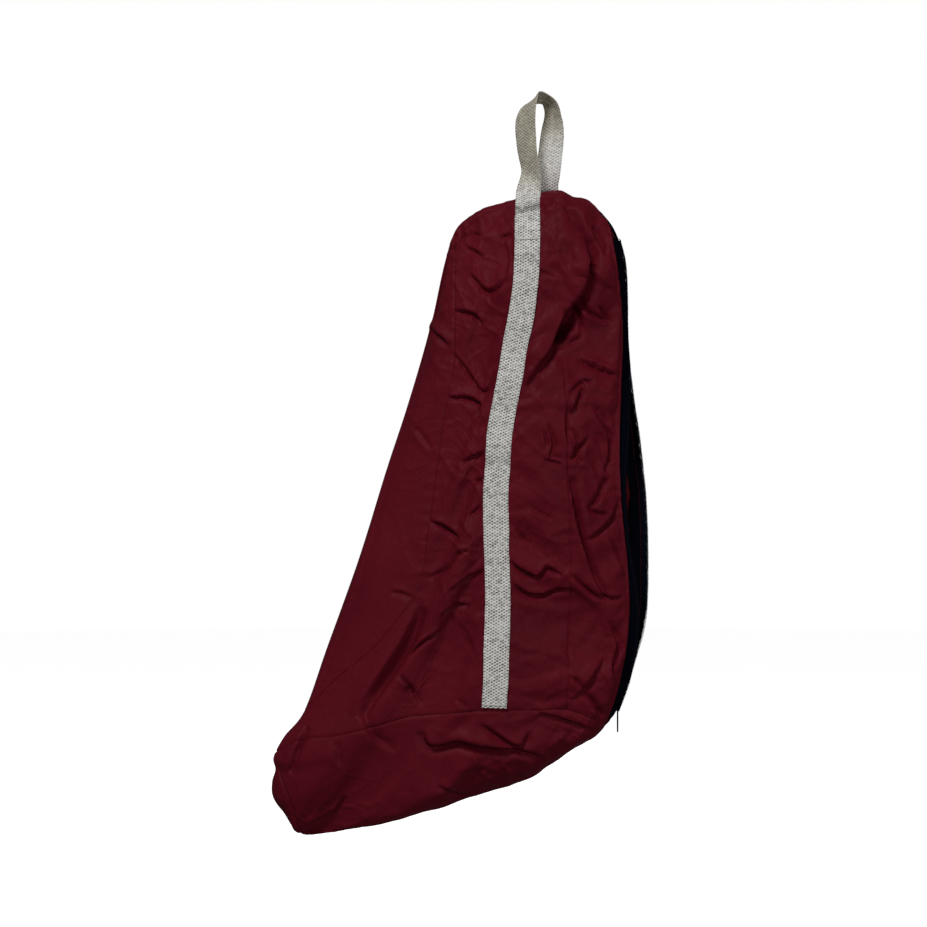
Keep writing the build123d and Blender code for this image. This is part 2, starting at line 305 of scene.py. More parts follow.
def hold_weights(rest):
    """How firmly each point of both sides' grids is held."""
    hold = np.zeros((2, ROWS, COLUMNS + 1))
    hold[:, :, -1] = 1.0
    hold[:, :HELD_ROWS, :] = TOP_HOLD
    hold[:, -HELD_ROWS:, :] = LOW_HOLD
    for k, side in enumerate(SIDES):
        gap = np.abs(rest[side][..., 0] - Curve(STRAP_LINE).x_of_z(rest[side][..., 2]))
        on_strap = gap < HELD_BY_STRAP
        hold[k][on_strap] = np.maximum(hold[k][on_strap], STRAP_HOLD)
    return hold.ravel()


def simulate_skin():
    """Lets a slightly oversized cloth skin buckle over the bag's shape; returns each side's moves."""
    per_side = (COLUMNS + 1) * ROWS
    rest = {side: base(side, *skin_grid(side)) for side in SIDES}
    points = np.vstack([rest["near"].reshape(-1, 3), rest["far"].reshape(-1, 3)])
    faces = grid_faces(ROWS, COLUMNS + 1) + grid_faces(ROWS, COLUMNS + 1, per_side, flip=True)
    # one shared point wherever the two sides meet: the front line, the top row and the bottom row
    index = np.arange(2 * per_side)
    grid = index.reshape(2, ROWS, COLUMNS + 1)
    for meeting in (grid[:, :, 0], grid[:, 0, :], grid[:, -1, :]):
        index[meeting[1].ravel()] = meeting[0].ravel()
    used, where = np.unique(index, return_inverse=True)
    joined = [tuple(int(where[k]) for k in face) for face in faces]
    joined = [face for face in joined if len(set(face)) == 4]
    cloth = new_mesh("skin_cloth", points[used], joined)
    pins = cloth.vertex_groups.new(name="held")
    hold = hold_weights(rest)
    for vertex, source in enumerate(used):
        if hold[source] > 0:
            pins.add([vertex], float(hold[source]), "REPLACE")
    modifier = cloth.modifiers.new("Cloth", "CLOTH")
    for setting, value in CLOTH.items():
        setattr(modifier.settings, setting, value)
    modifier.settings.effector_weights.gravity = CLOTH_GRAVITY
    modifier.collision_settings.use_collision = False
    modifier.collision_settings.use_self_collision = False
    modifier.point_cache.frame_start = 1
    modifier.point_cache.frame_end = SIM_FRAMES
    scene = bpy.context.scene
    for step in range(1, SIM_FRAMES + 1):
        scene.frame_set(step)
    shaped = cloth.evaluated_get(bpy.context.evaluated_depsgraph_get())
    result = np.zeros(len(used) * 3, np.float32)
    shaped.data.vertices.foreach_get("co", result)
    result = result.reshape(-1, 3)[where] / MM
    scene.frame_set(1)
    bpy.data.objects.remove(cloth)
    found = (result - points).reshape(2, ROWS, COLUMNS + 1, 3)
    size = np.linalg.norm(found, axis=-1, keepdims=True)
    found = found * np.tanh(size / MOVE_LIMIT) * MOVE_LIMIT / np.maximum(size, 1e-6)
    return {side: found[k] for k, side in enumerate(SIDES)}


# ---- folds ------------------------------------------------------------------
FOLDS = [
    # route (x, z), width, height of the lit side, depth of the shaded side, spread of the lit side
    # the big soft roll beside the strap, and the pockets behind it
    ([(4, -113), (20, -116), (30, -137), (42, -160), (43, -185), (34, -209), (18, -228), (8, -256),
      (-7, -278), (-19, -295)], 6, 8.5, 8.0, 3.2),
    ([(43, -152), (48, -164), (45, -178)], 6, 0.0, 8.0, 1.0),
    ([(30, -212), (24, -228), (12, -250), (27, -254)], 7, 0.0, 10.0, 1.0),
    ([(26, -230), (19, -242), (15, -251), (24, -254)], 4.5, 0.0, 11.0, 1.0),
    ([(46, -243), (41, -223), (32, -209)], 3.5, 1.4, 4.6, 1.5),
    ([(0, -120), (14, -118), (22, -126), (24, -134)], 4, 2.0, 5.0, 1.5),
    ([(50, -136), (57, -150), (62, -167)], 4.5, 0.8, 5.5, 1.3),
    ([(33, -214), (50, -228), (66, -234)], 3.5, 1.6, 3.8, 1.5),
    # upper back panel
    ([(75, -283), (55, -274), (38, -266)], 4, 3.0, 4.0, 1.4),
    ([(20, -262), (38, -253), (45, -246)], 4, 1.6, 3.4, 1.2),
    ([(52, -288), (38, -289), (24, -303)], 3, 1.2, 3.4, 1.4),
    ([(55, -218), (61, -226), (66, -235)], 3, 1.0, 3.0, 1.3),
    ([(52, -321), (58, -326), (65, -336)], 3, 1.0, 2.8, 1.3),
    ([(24, -306), (22, -341), (28, -364)], 3, 0.8, 2.6, 1.4),
    ([(-1, -341), (3, -358)], 3, 0.8, 2.0, 1.3),
    # left panel, top to bottom
    ([(-88, -149), (-74, -145), (-60, -147)], 3, 0.8, 2.6, 1.4),
    ([(-57, -163), (-66, -157), (-76, -152)], 5, 1.0, 3.6, 1.4),
    ([(-36, -185), (-54, -196), (-63, -190), (-72, -180)], 4, 1.6, 4.2, 1.5),
    ([(-32, -141), (-43, -146)], 3, 0.8, 2.4, 1.3),
    ([(-59, -231), (-66, -222), (-75, -218), (-90, -216)], 3.5, 2.2, 4.2, 1.6),
    ([(-93, -252), (-102, -243), (-116, -231)], 4, 2.2, 3.4, 1.4),
    ([(-50, -280), (-60, -297), (-79, -272), (-93, -256)], 3, 1.4, 2.8, 1.5),
    ([(-60, -325), (-62, -311), (-76, -303), (-97, -302)], 3.5, 2.0, 4.2, 1.6),
    ([(-57, -358), (-69, -362), (-84, -366)], 4, 1.0, 3.8, 1.4),
    ([(-135, -333), (-116, -358)], 4, 1.4, 1.8, 1.3),
    ([(-57, -384), (-70, -386)], 3, 0.8, 2.4, 1.3),
    ([(-60, -410), (-75, -422)], 3, 0.8, 2.6, 1.3),
    ([(-83, -442), (-99, -429), (-115, -423)], 3.5, 1.8, 4.2, 1.5),
    ([(-74, -454), (-89, -457), (-100, -469), (-118, -480)], 3.5, 1.4, 3.6, 1.5),
    ([(-56, -475), (-77, -483), (-95, -493)], 3.5, 1.2, 3.4, 1.5),
    ([(-71, -510), (-89, -509), (-105, -518)], 3, 1.4, 3.0, 1.4),
    ([(-104, -533), (-122, -542), (-138, -556)], 3, 1.4, 3.4, 1.4),
    ([(-132, -499), (-143, -494), (-155, -494)], 3, 0.8, 2.4, 1.3),
    ([(-129, -508), (-143, -540), (-159, -566), (-176, -592), (-190, -618)], 7.5, 3.8, 8.5, 1.3),
    ([(-150, -578), (-133, -598), (-124, -613)], 3, 0.8, 2.8, 1.3),
    ([(-85, -606), (-78, -615)], 3, 0.6, 2.2, 1.3),
    # right of the strap
    ([(21, -480), (4, -472), (-5, -481), (-18, -477), (-31, -467)], 3.5, 2.0, 4.6, 1.5),
    ([(30, -495), (14, -494), (0, -500), (-14, -499), (-29, -489)], 3.5, 1.8, 4.6, 1.5),
    ([(-13, -419), (9, -430)], 3, 0.8, 1.8, 1.3),
    ([(20, -371), (2, -366)], 3, 0.8, 2.0, 1.3),
    # lower back panel and heel
    ([(25, -384), (29, -414), (35, -442), (45, -474), (55, -498), (60, -510)], 4, 2.2, 7.0, 1.5),
    ([(66, -420), (52, -417), (58, -409), (69, -388)], 3.5, 1.2, 4.4, 1.4),
    ([(27, -484), (36, -494), (46, -504), (58, -510)], 3.5, 1.6, 4.6, 1.5),
    ([(78, -402), (67, -426), (56, -437), (43, -446)], 3.5, 1.8, 4.2, 1.5),
    ([(48, -318), (56, -333), (65, -346), (65, -366), (60, -382)], 3.5, 1.6, 3.8, 1.6),
    ([(39, -292), (32, -311), (26, -325)], 3.5, 1.6, 4.4, 1.4),
    ([(43, -345), (34, -357), (26, -368)], 3, 1.4, 3.8, 1.4),
    ([(25, -340), (32, -350), (30, -362), (36, -374)], 2.8, 1.0, 3.2, 1.4),
    ([(3, -335), (8, -353), (6, -367), (20, -371)], 3.5, 1.2, 2.6, 1.5),
    ([(-29, -438), (-21, -449), (-12, -455)], 3, 0.8, 2.6, 1.4),
    ([(79, -502), (68, -503), (55, -499)], 3, 1.2, 3.2, 1.3),
    ([(65, -447), (74, -467), (81, -482)], 3, 1.2, 2.8, 1.3),
    ([(62, -530), (71, -551), (66, -573), (68, -592), (60, -618)], 4, 2.0, 4.0, 1.5),
    ([(60, -562), (42, -590), (27, -606)], 4, 2.0, 3.6, 1.5),
    ([(37, -603), (48, -613), (57, -629)], 4, 2.0, 4.0, 1.4),
    ([(28, -585), (36, -597)], 3, 0.8, 2.6, 1.3),
    # foot
    ([(2, -660), (-20, -654), (-35, -653), (-60, -650), (-82, -645), (-108, -649), (-118, -634)],
     5.5, 4.0, 6.5, 1.8),
    ([(-15, -636), (-22, -649), (-34, -645), (-58, -627)], 4.5, 2.0, 4.6, 1.4),
    ([(52, -634), (15, -622), (-4, -618)], 3.5, 1.4, 3.0, 1.4),
    ([(-64, -702), (-81, -699), (-102, -687)], 3.5, 1.4, 3.4, 1.4),
    ([(-200, -700), (-209, -713), (-238, -726)], 3.5, 1.4, 3.4, 1.4),
    ([(-240, -628), (-252, -655), (-258, -676)], 4, 1.8, 4.0, 1.4),
    ([(-213, -644), (-210, -669)], 5, 1.0, 2.4, 1.4),
    ([(-188, -612), (-176, -640), (-150, -660)], 6, 1.2, 2.8, 1.6),
]
CREASE_WIDTH = 0.88  # of every fold's width
CREASE_DEPTH = 1.25  # of every fold's shaded depth
LIT_INNER = 0.45  # the lit side's width towards the shaded side, in fold widths
SHADE_AT = 0.9  # where the shaded side is deepest
SHADE_WIDTHS = (0.5, 1.1)  # the shaded side's width towards the lit side and away from it
FOLD_SHARE = {"near": 1.0, "far": 0.6}
FOLD_SHIFT = {"near": (0.0, 0.0), "far": (6.0, 23.0)}  # the far side's folds lie a little lower
SEEDS = {"near": 11, "far": 53}
LATTICE = 64
CREASES = (  # turn, width, length and height of four sizes of small crease
    (0.5, 24, 70, 1.5),
    (-0.75, 15, 48, 1.0),
    (1.25, 9, 34, 0.75),
    (-0.2, 6, 22, 0.42),
)
CREASE_BEND = 14  # how far the creases' axes bend, and over what distances
BEND_X, BEND_Z = (44, 51), (48, 43)
RIDGE_SHARP = 2.2
RIDGE_LEVEL = 0.3  # of a crease's height that its surroundings lie below the skin
PATCH_SIZE = (60, 75)  # areas with more and with fewer creases
SEAM_PUCKERS = ((FRONT_SEAM, 7, 13, 0.5), (REAR_SEAM, 7, 11, 0.4))  # line, reach, pitch and height
HEM_PUCKER = (8, 9, 0.6)
TIGHT_PUCKER = (5, 4.5, 1.2)  # the hem's finer gathers, which come in between these heights
TIGHT_HEIGHTS = (-215, -170)
STRAP_HALF = 12.5
STRAP_LINES = {"near": STRAP_LINE, "far": FAR_STRAP_LINE}
strap_curves = {side: Curve(line) for side, line in STRAP_LINES.items()}
MIDDLE_FADE = 0.45  # sine of the angle from the front or the zip at which the folds have their full height
HEM_SHARE = 0.3  # of the folds' height left at the hem, and the distances over which the rest comes in
HEM_FADE = (2, 10)
STRAP_END_FADE = (612, 622)  # depths below the loop over which the folds come back under the strap's end
TOP_FADE, SOLE_FADE = (0.0, 0.05), (0.02, 0.09)  # rows from the top and from the sole
SIDE_KEEP = np.array([0.55, 1.0, 0.55])  # the silhouette keeps more of its rest shape


def stroke_fields(x, z):
    """How far the folds lift side-view points outwards."""
    total = np.zeros_like(x)
    for points, full_width, high, low, spread in FOLDS:
        line = smooth(points, 4 + 5 * len(points))
        reach = (2.5 + 2 * spread) * full_width
        near = (x > line[:, 0].min() - reach) & (x < line[:, 0].max() + reach)
        near &= (z > line[:, 1].min() - reach) & (z < line[:, 1].max() + reach)
        if not near.any():
            continue
        px, pz = x[near], z[near]
        nearest = np.full(px.shape, 1e9)
        across = np.zeros_like(px)
        along = np.zeros_like(px)
        ways = np.diff(line, axis=0)
        for k, (start, way) in enumerate(zip(line, ways)):
            dx, dz = px - start[0], pz - start[1]
            t = np.clip((dx * way[0] + dz * way[1]) / (way @ way), 0, 1)
            gap = np.hypot(dx - t * way[0], dz - t * way[1])
            closer = gap < nearest
            nearest = np.where(closer, gap, nearest)
            across = np.where(closer, gap * np.sign(dz * way[0] - dx * way[1]), across)
            along = np.where(closer, (k + t) / len(ways), along)
        taper = np.sin(np.clip(along, 0, 1) * math.pi) ** 0.5
        width = full_width * CREASE_WIDTH
        lit_width = np.where(across < 0, spread * width, LIT_INNER * width)
        lit = high * np.exp(-((across / lit_width) ** 2))
        past = across - SHADE_AT * width
        shade_width = np.where(past < 0, SHADE_WIDTHS[0] * width, SHADE_WIDTHS[1] * width)
        shade = CREASE_DEPTH * low * np.exp(-((past / shade_width) ** 2))
        total[near] += (lit - shade) * taper
    return total


def lattice_noise(x, y, seed):
    """Smooth noise from -1 to 1, the same on each run."""
    table = np.random.default_rng(seed).uniform(-1, 1, (LATTICE, LATTICE))
    xi, yi = np.floor(x).astype(int), np.floor(y).astype(int)
    fx, fy = x - xi, y - yi
    fx, fy = fx**3 * (fx * (fx * 6 - 15) + 10), fy**3 * (fy * (fy * 6 - 15) + 10)
    left, right = xi % LATTICE, (xi + 1) % LATTICE
    low, high = yi % LATTICE, (yi + 1) % LATTICE
    a, b = table[left, low], table[right, low]
    c, d = table[left, high], table[right, high]
    return (a * (1 - fx) + b * fx) * (1 - fy) + (c * (1 - fx) + d * fx) * fy


def crumple(x, z, seed):
    """Small sharp creases of thin nylon: ridged noise on bent, turned axes."""
    total = np.zeros_like(x)
    bent_x = x + CREASE_BEND * lattice_noise(x / BEND_X[0], z / BEND_X[1], seed)
    bent_z = z + CREASE_BEND * lattice_noise(x / BEND_Z[0], z / BEND_Z[1], seed + 1)
    for k, (turn, wide, long, height) in enumerate(CREASES):
        a = (bent_x * math.cos(turn) + bent_z * math.sin(turn)) / wide
        b = (bent_z * math.cos(turn) - bent_x * math.sin(turn)) / long
        ridge = 1 - np.abs(lattice_noise(a, b, seed + 7 + k)) * RIDGE_SHARP
        total += height * (np.clip(ridge, 0, 1) ** 2 - RIDGE_LEVEL)
    patches = 0.6 + 0.6 * lattice_noise(x / PATCH_SIZE[0], z / PATCH_SIZE[1], seed + 3)
    return total * np.clip(patches, 0.1, 1.2)


def pucker(x, z, line, reach, pitch, height):
    """Short gathers beside a sewn, mostly upright line."""
    gap = np.abs(x - Curve(line).x_of_z(z))
    wave = np.sin(z * 2 * math.pi / pitch + 1.3 * np.sin(z / 23)) * (0.6 + 0.4 * np.sin(z / 37))
    return height * wave * np.exp(-gap / reach)


def relief(side, phi, x, z):
    """The folds, creases and puckers of one side, outwards; they fade at the hem and under the strap."""
    dx, dz = FOLD_SHIFT[side]
    total = FOLD_SHARE[side] * stroke_fields(x + dx, z + dz) + crumple(x, z, SEEDS[side])
    for line, *gathers in SEAM_PUCKERS:
        total += pucker(x, z, line, *gathers)
    total += pucker(x, z, EDGES[side], *HEM_PUCKER)
    total += pucker(x, z, EDGES[side], *TIGHT_PUCKER) * step_up(z, *TIGHT_HEIGHTS)
    hem_gap = np.abs(x - Curve(EDGES[side]).x_of_z(z))
    at_hem = HEM_SHARE + (1 - HEM_SHARE) * step_up(hem_gap, *HEM_FADE)
    total = total * step_up(np.sin(phi), 0.0, MIDDLE_FADE) * at_hem
    below_strap = 30 * step_up(-z, *STRAP_END_FADE)
    off_strap = np.abs(x - strap_curves[side].x_of_z(z)) + below_strap
    return total * step_up(off_strap, STRAP_HALF - 2, STRAP_HALF + 6)


# ---- the finished surface ---------------------------------------------------
def spline_weights(t):
    """The four B-spline weights at a fraction t, each with its step."""
    return [
        ((1 - t) ** 3 / 6, -1),
        ((3 * t**3 - 6 * t**2 + 4) / 6, 0),
        ((-3 * t**3 + 3 * t**2 + 3 * t + 1) / 6, 1),
        (t**3 / 6, 2),
    ]


def moved(side, phi, psi):
    """The simulated move there, by bicubic interpolation."""
    i = np.clip(phi / np.interp(psi, PSI, panel_end[side]), 0, 1) * COLUMNS
    j = np.clip(psi, 0, 1) * (ROWS - 1)
    i0, j0 = np.floor(i).astype(int), np.floor(j).astype(int)
    total = np.zeros(phi.shape + (3,))
    for weight_j, dj in spline_weights(j - j0):
        row = np.clip(j0 + dj, 0, ROWS - 1)
        for weight_i, di in spline_weights(i - i0):
            column = np.clip(i0 + di, 0, COLUMNS)
            total += (weight_i * weight_j)[..., None] * moves[side][row, column]
    return total * SIDE_KEEP


def by_side(phi):
    """Each side that some of the signed angles are on, and where they are."""
    both = (("near", phi >= 0), ("far", phi < 0))
    return [(side, chosen) for side, chosen in both if chosen.any()]


def plain(phi, psi):
    """The simulated surface at signed angles."""
    out = np.zeros(phi.shape + (3,))
    for side, chosen in by_side(phi):
        a, b = np.abs(phi[chosen]), psi[chosen]
        out[chosen] = base(side, a, b) + moved(side, a, b)
    return out


def skin_normal(phi, psi, step=0.006):
    """The outward direction of the simulated surface."""
    du = plain(phi + step, psi) - plain(phi - step, psi)
    dv = plain(phi, np.clip(psi + step, 0, 1)) - plain(phi, np.clip(psi - step, 0, 1))
    return unit(np.cross(dv, du))


def skin_at(phi, psi, inset=0.0, creased=True):
    """The finished surface, with its folds, moved inwards by the inset."""
    height = np.zeros(phi.shape)
    if creased:
        for side, chosen in by_side(phi):
            flat = base(side, np.abs(phi[chosen]), psi[chosen])
            height[chosen] = relief(side, np.abs(phi[chosen]), flat[..., 0], flat[..., 2])
        height *= step_up(psi, *TOP_FADE) * step_up(1 - psi, *SOLE_FADE)
    return plain(phi, psi) + skin_normal(phi, psi) * (height - inset)[..., None]


moves = simulate_skin()


# ---- materials --------------------------------------------------------------
def new_material(name, colour, roughness):
    """A node material with its own colour and roughness set; returns it with its tree, shader and place."""
    made = bpy.data.materials.new(name)
    made.use_nodes = True
    shader = made.node_tree.nodes["Principled BSDF"]
    shader.inputs["Base Color"].default_value = (*colour, 1)
    shader.inputs["Roughness"].default_value = roughness
    place = add_node(made.node_tree, "ShaderNodeTexCoord").outputs["Object"]
    return made, made.node_tree, shader, place


def add_node(tree, kind, links=(), settings=(), **values):
    """Adds a node, sets its properties and its inputs, and links its inputs."""
    made = tree.nodes.new(kind)
    for key, value in dict(settings).items():
        setattr(made, key, value)
    for key, value in values.items():
        made.inputs[key.replace("_", " ")].default_value = value
    for socket, source in dict(links).items():
        tree.links.new(source, made.inputs[socket])
    return made


def noise(tree, place, scale, detail=2.0):
    return add_node(tree, "ShaderNodeTexNoise", {"Vector": place}, Scale=scale, Detail=detail).outputs["Fac"]


def ramp(tree, factor, stops):
    """A colour ramp of (place, colour) stops."""
    made = add_node(tree, "ShaderNodeValToRGB", {"Fac": factor})
    while len(made.color_ramp.elements) < len(stops):
        made.color_ramp.elements.new(0.5)
    for element, (place, colour) in zip(made.color_ramp.elements, stops):
        element.position = place
        element.color = (*colour, 1)
    return made.outputs["Color"]


def multiply(tree, first, second, amount=1.0):
    """The first colour darkened by an amount of the second."""
    look = {"data_type": "RGBA", "blend_type": "MULTIPLY"}
    made = add_node(tree, "ShaderNodeMix", {6: first, 7: second}, look)
    made.inputs[0].default_value = amount
    return made.outputs[2]


def bump(tree, height, strength, distance, normal=None):
    links = {"Height": height}
    if normal is not None:
        links["Normal"] = normal
    return add_node(tree, "ShaderNodeBump", links, Strength=strength, Distance=distance).outputs["Normal"]


def set_shader(tree, shader, colour, normal=None, **values):
    """Links a shader's colour and normal and sets its other inputs."""
    tree.links.new(colour, shader.inputs["Base Color"])
    if normal is not None:
        tree.links.new(normal, shader.inputs["Normal"])
    for key, value in values.items():
        shader.inputs[key.replace("_", " ")].default_value = value


def nylon_material():
    """Thin maroon nylon: cloudy colour, a fine plain weave, small creases and hardly any gloss."""
    made, tree, shader, place = new_material("nylon", (0.115, 0.006, 0.013), 0.55)
    cloudy = noise(tree, place, 9.0, 4.0)
    colour = ramp(tree, cloudy, [(0.3, (0.116, 0.0058, 0.0136)), (0.7, (0.152, 0.0084, 0.0186))])
    shade = ramp(tree, noise(tree, place, 650.0), [(0.3, (0.80, 0.70, 0.74)), (0.7, (1.0, 1.0, 1.0))])
    threads = []
    for way in ("X", "Z"):
        look = {"wave_type": "BANDS", "bands_direction": way}
        wave = add_node(tree, "ShaderNodeTexWave", {"Vector": place}, look, Scale=500.0)
        threads.append(wave.outputs["Fac"])
    weave = add_node(tree, "ShaderNodeMath", {0: threads[0], 1: threads[1]}, {"operation": "ADD"}).outputs[0]
    soft = bump(tree, noise(tree, place, 120.0, 5.0), 0.25, 0.0015)
    normal = bump(tree, weave, 0.15, 0.0001, soft)
    set_shader(tree, shader, multiply(tree, colour, shade), normal, Specular_IOR_Level=0.05)
    rough = add_node(tree, "ShaderNodeMapRange", {"Value": cloudy}, To_Min=0.44, To_Max=0.56)
    tree.links.new(rough.outputs["Result"], shader.inputs["Roughness"])
    return made


def webbing_material():
    """Off-white cotton webbing: its weave is in the mesh, and so are its stains, grime and painted shade,
    with smudges, fuzz and grain here.
    """
    made, tree, shader, place = new_material("webbing", (0.66, 0.645, 0.61), 0.9)
    stops = [(0.30, (0.80, 0.785, 0.75)), (0.45, (0.94, 0.915, 0.875)), (0.7, (0.98, 0.955, 0.915))]
    colour = ramp(tree, noise(tree, place, 30.0, 6.0), stops)
    grain = noise(tree, place, 900.0, 3.0)
    shade = ramp(tree, grain, [(0.35, (0.66, 0.66, 0.65)), (0.6, (1.0, 1.0, 1.0))])
    # the mesh's stains, grime and painted shade
    soil_and_shade = add_node(tree, "ShaderNodeAttribute", settings={"attribute_name": "soil_and_shade"}).outputs["Color"]
    soiled_and_shaded = multiply(tree, multiply(tree, colour, shade, 0.3), soil_and_shade)
    normal = bump(tree, grain, 0.4, 0.0004)
    set_shader(tree, shader, soiled_and_shaded, normal, Specular_IOR_Level=0.2, Sheen_Weight=0.15)
    return made


def grainy_material(name, colour, roughness, scale, gain=1.8, metal=0.0, gloss=0.15):
    """A fine grain in the colour and the bump, for tape, coils, thread and enamel."""
    made, tree, shader, place = new_material(name, colour, roughness)
    grain = noise(tree, place, scale, 3.0)
    pale = tuple(c * gain for c in colour)
    grained = ramp(tree, grain, [(0.35, colour), (0.7, pale)])
    normal = bump(tree, grain, 0.3, 0.0002)
    set_shader(tree, shader, grained, normal, Metallic=metal, Specular_IOR_Level=gloss)
    return made


NYLON = nylon_material()
WEBBING = webbing_material()
TAPE = grainy_material("zip_tape", (0.0022, 0.0026, 0.0056), 0.85, 700.0, gloss=0.0)
COIL = grainy_material("zip_coil", (0.0045, 0.0050, 0.0100), 0.6, 900.0, gloss=0.02)
ENAMEL = grainy_material("zip_enamel", (0.008, 0.008, 0.011), 0.32, 260.0, 1.5, 0.6, 0.5)
# the same tape, lighter: painted light for the far tape, which lies in shade inside the mouth
TAPE_PAINTED_LIGHT = grainy_material("zip_tape_painted_light", (0.008, 0.0096, 0.019), 0.85, 700.0, gloss=0.0)
PALE_THREAD = grainy_material("pale_thread", (0.60, 0.59, 0.56), 0.8, 1500.0, 1.3)
THREAD = grainy_material("thread", (0.12, 0.010, 0.018), 0.6, 1500.0)
LINING = grainy_material("binding", (0.080, 0.006, 0.012), 0.75, 600.0)

# ---- fabric panels ----------------------------------------------------------
SPACING = 1.85  # between the points of a finished panel's mesh
FABRIC = 0.5  # the nylon's thickness
SEAM_DIP = 1.1  # how far a panel turns in at a seam, and within what distance of it
SEAM_SOFT = 1.2
FOLD_OVER_SEAM = (230, 330)  # a fold hides the rear seam down to the first depth, and ends at the second
SEAM_SHOWN = 0.15  # share of the dip left under the fold
HEM_PROUD = 0.7  # the folded hem beside the zip, its edge's width and its stitched ridge's place and width
HEM_EDGE = 2.0
HEM_STITCH = 4.0
HEM_RIDGE = 1.1
SHARP_ANGLE = math.radians(60)
TOP_START, SOLE_START = 0.03, 0.03  # the angle at which the top and the sole panels begin
RIDGE_ROWS = 16
RIDGE_COLUMNS = 240  # in half a turn
SOLE_ROW = 0.955  # where the foot panels end and the sole begins
ALL_SIDES = ["left", "right", "above", "below"]


def finish_piece(piece, surface, nodes=()):
    """The material, and the CAD nodes that it stands for, which are hidden."""
    piece.data.materials.append(surface)
    if nodes:
        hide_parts(*nodes)
    return piece


def sheet(name, points, thick, flip, surface, nodes=()):
    """A sheet over a grid of points, given its thickness inwards for good, with no modifier left."""
    piece = new_mesh(name, points.reshape(-1, 3), grid_faces(*points.shape[:2], flip=flip))
    solid = piece.modifiers.new("thick", "SOLIDIFY")
    solid.thickness = thick * MM
    solid.offset = -1.0
    solid.use_even_offset = False
    bpy.context.view_layer.update()
    shaped = piece.evaluated_get(bpy.context.evaluated_depsgraph_get())
    mesh = bpy.data.meshes.new_from_object(shaped)
    old = piece.data
    piece.modifiers.clear()
    piece.data = mesh
    bpy.data.meshes.remove(old)
    mesh.set_sharp_from_angle(angle=SHARP_ANGLE)
    return finish_piece(piece, surface, nodes)


def patch(left, right, above, below, rows, cols):
    """Angles and rows of a grid whose four sides lie on four lines."""
    i, j = np.meshgrid(np.linspace(0, 1, cols), np.linspace(0, 1, rows))
    middle = np.full(i.shape, 0.5)
    phi = left(middle) * (1 - i) + right(middle) * i
    for repeat in range(12):
        psi = above(phi) * (1 - j) + below(phi) * j
        phi = left(psi) * (1 - i) + right(psi) * i
    return phi, psi


def angle_reader(side, table):
    """A function giving the signed angle at any row, from the angle in each row of PSI."""
    return lambda psi: -SIDES[side] * np.interp(psi, PSI, table)


def angle_line(side, line, offset=0.0):
    """A function giving an upright line's signed angle at any row."""
    return angle_reader(side, phi_of_line(side, line, offset))


def row_line(side, line):
    """A function giving a level line's row at any signed angle."""
    angles = np.linspace(0.02, math.pi - 0.02, 200)
    table = psi_of_line(side, line, angles)
    return lambda phi: np.interp(np.abs(phi), angles, table)


def constant(value):
    return lambda given: np.full(np.shape(given), float(value))


TOP_ROW = {side: row_line(side, TOP_SEAM) for side in SIDES}
FOOT_ROW = {side: row_line(side, FOOT_SEAM) for side in SIDES}
FRONT_ANGLE = {side: angle_line(side, FRONT_SEAM) for side in SIDES}
REAR_ANGLE = {side: angle_line(side, REAR_SEAM) for side in SIDES}
EDGE_ANGLE = {side: angle_reader(side, panel_end[side]) for side in SIDES}
TOE_ANGLE = {side: angle_line(side, TOE_SEAM) for side in SIDES}


def row_where_closed():
    """The row at which the two front seams meet on the front line."""
    return float(PSI[np.argmax((FRONT_ANGLE["near"](PSI) < 0.02) & (PSI > 0.4))])


def row_of_height(side, z):
    """The row at which the flap's middle angle reaches a height."""
    phi = -SIDES[side] * np.full(PSI.shape, math.pi * 0.75)
    heights = plain(phi, PSI)[:, 2]
    return float(np.interp(-z, -heights, PSI))


def halves(side, first, last):
    """The upper and the lower half of a run of rows, cut at the flap's middle."""
    split = row_of_height(side, FLAP_MIDDLE)
    return (("upper", (first, split)), ("lower", (split, last)))


def blend_flap(piece):
    """Bakes the placement of a piece of the zip side into its mesh."""
    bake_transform(piece)


def grid_size(points):
    """The largest width and height of a grid of points."""
    across = np.linalg.norm(np.diff(points, axis=1), axis=-1).sum(1).max()
    down = np.linalg.norm(np.diff(points, axis=0), axis=-1).sum(0).max()
    return across, down


def sewn_inset(points, sewn, hidden=""):
    """How far a panel turns in beside its sewn sides; high up, the hidden one lies under a fold."""
    across = np.linalg.norm(np.diff(points, axis=1), axis=-1)
    down = np.linalg.norm(np.diff(points, axis=0), axis=-1)
    from_left = np.pad(np.cumsum(across, 1), ((0, 0), (1, 0)))
    from_top = np.pad(np.cumsum(down, 0), ((1, 0), (0, 0)))
    gaps = {
        "left": from_left,
        "right": from_left[:, -1:] - from_left,
        "above": from_top,
        "below": from_top[-1:, :] - from_top,
    }
    inset = np.zeros(points.shape[:2])
    for name in sewn:
        if name == "hem":
            inset = inset - HEM_PROUD * np.exp(-((gaps["right"] / HEM_EDGE) ** 2))
            inset = inset + HEM_PROUD * np.exp(-(((gaps["right"] - HEM_STITCH) / HEM_RIDGE) ** 2))
            continue
        shown = 1.0
        if name == hidden:
            shown = SEAM_SHOWN + (1 - SEAM_SHOWN) * step_up(-points[..., 2], *FOLD_OVER_SEAM)
        inset = np.maximum(inset, shown * SEAM_DIP * np.exp(-((gaps[name] / SEAM_SOFT) ** 2)))
    return inset


def panel(name, lines, sewn, nodes, flip=False, hidden=""):
    """One fabric panel over the skin between four lines, turned in along its sewn sides."""
    across, down = grid_size(plain(*patch(*lines, 25, 25)))
    rows, cols = int(down / SPACING) + 2, int(across / SPACING) + 2
    phi, psi = patch(*lines, rows, cols)
    points = skin_at(phi, psi, sewn_inset(plain(phi, psi), sewn, hidden))
    return sheet(name, points, FABRIC, flip, NYLON, nodes)


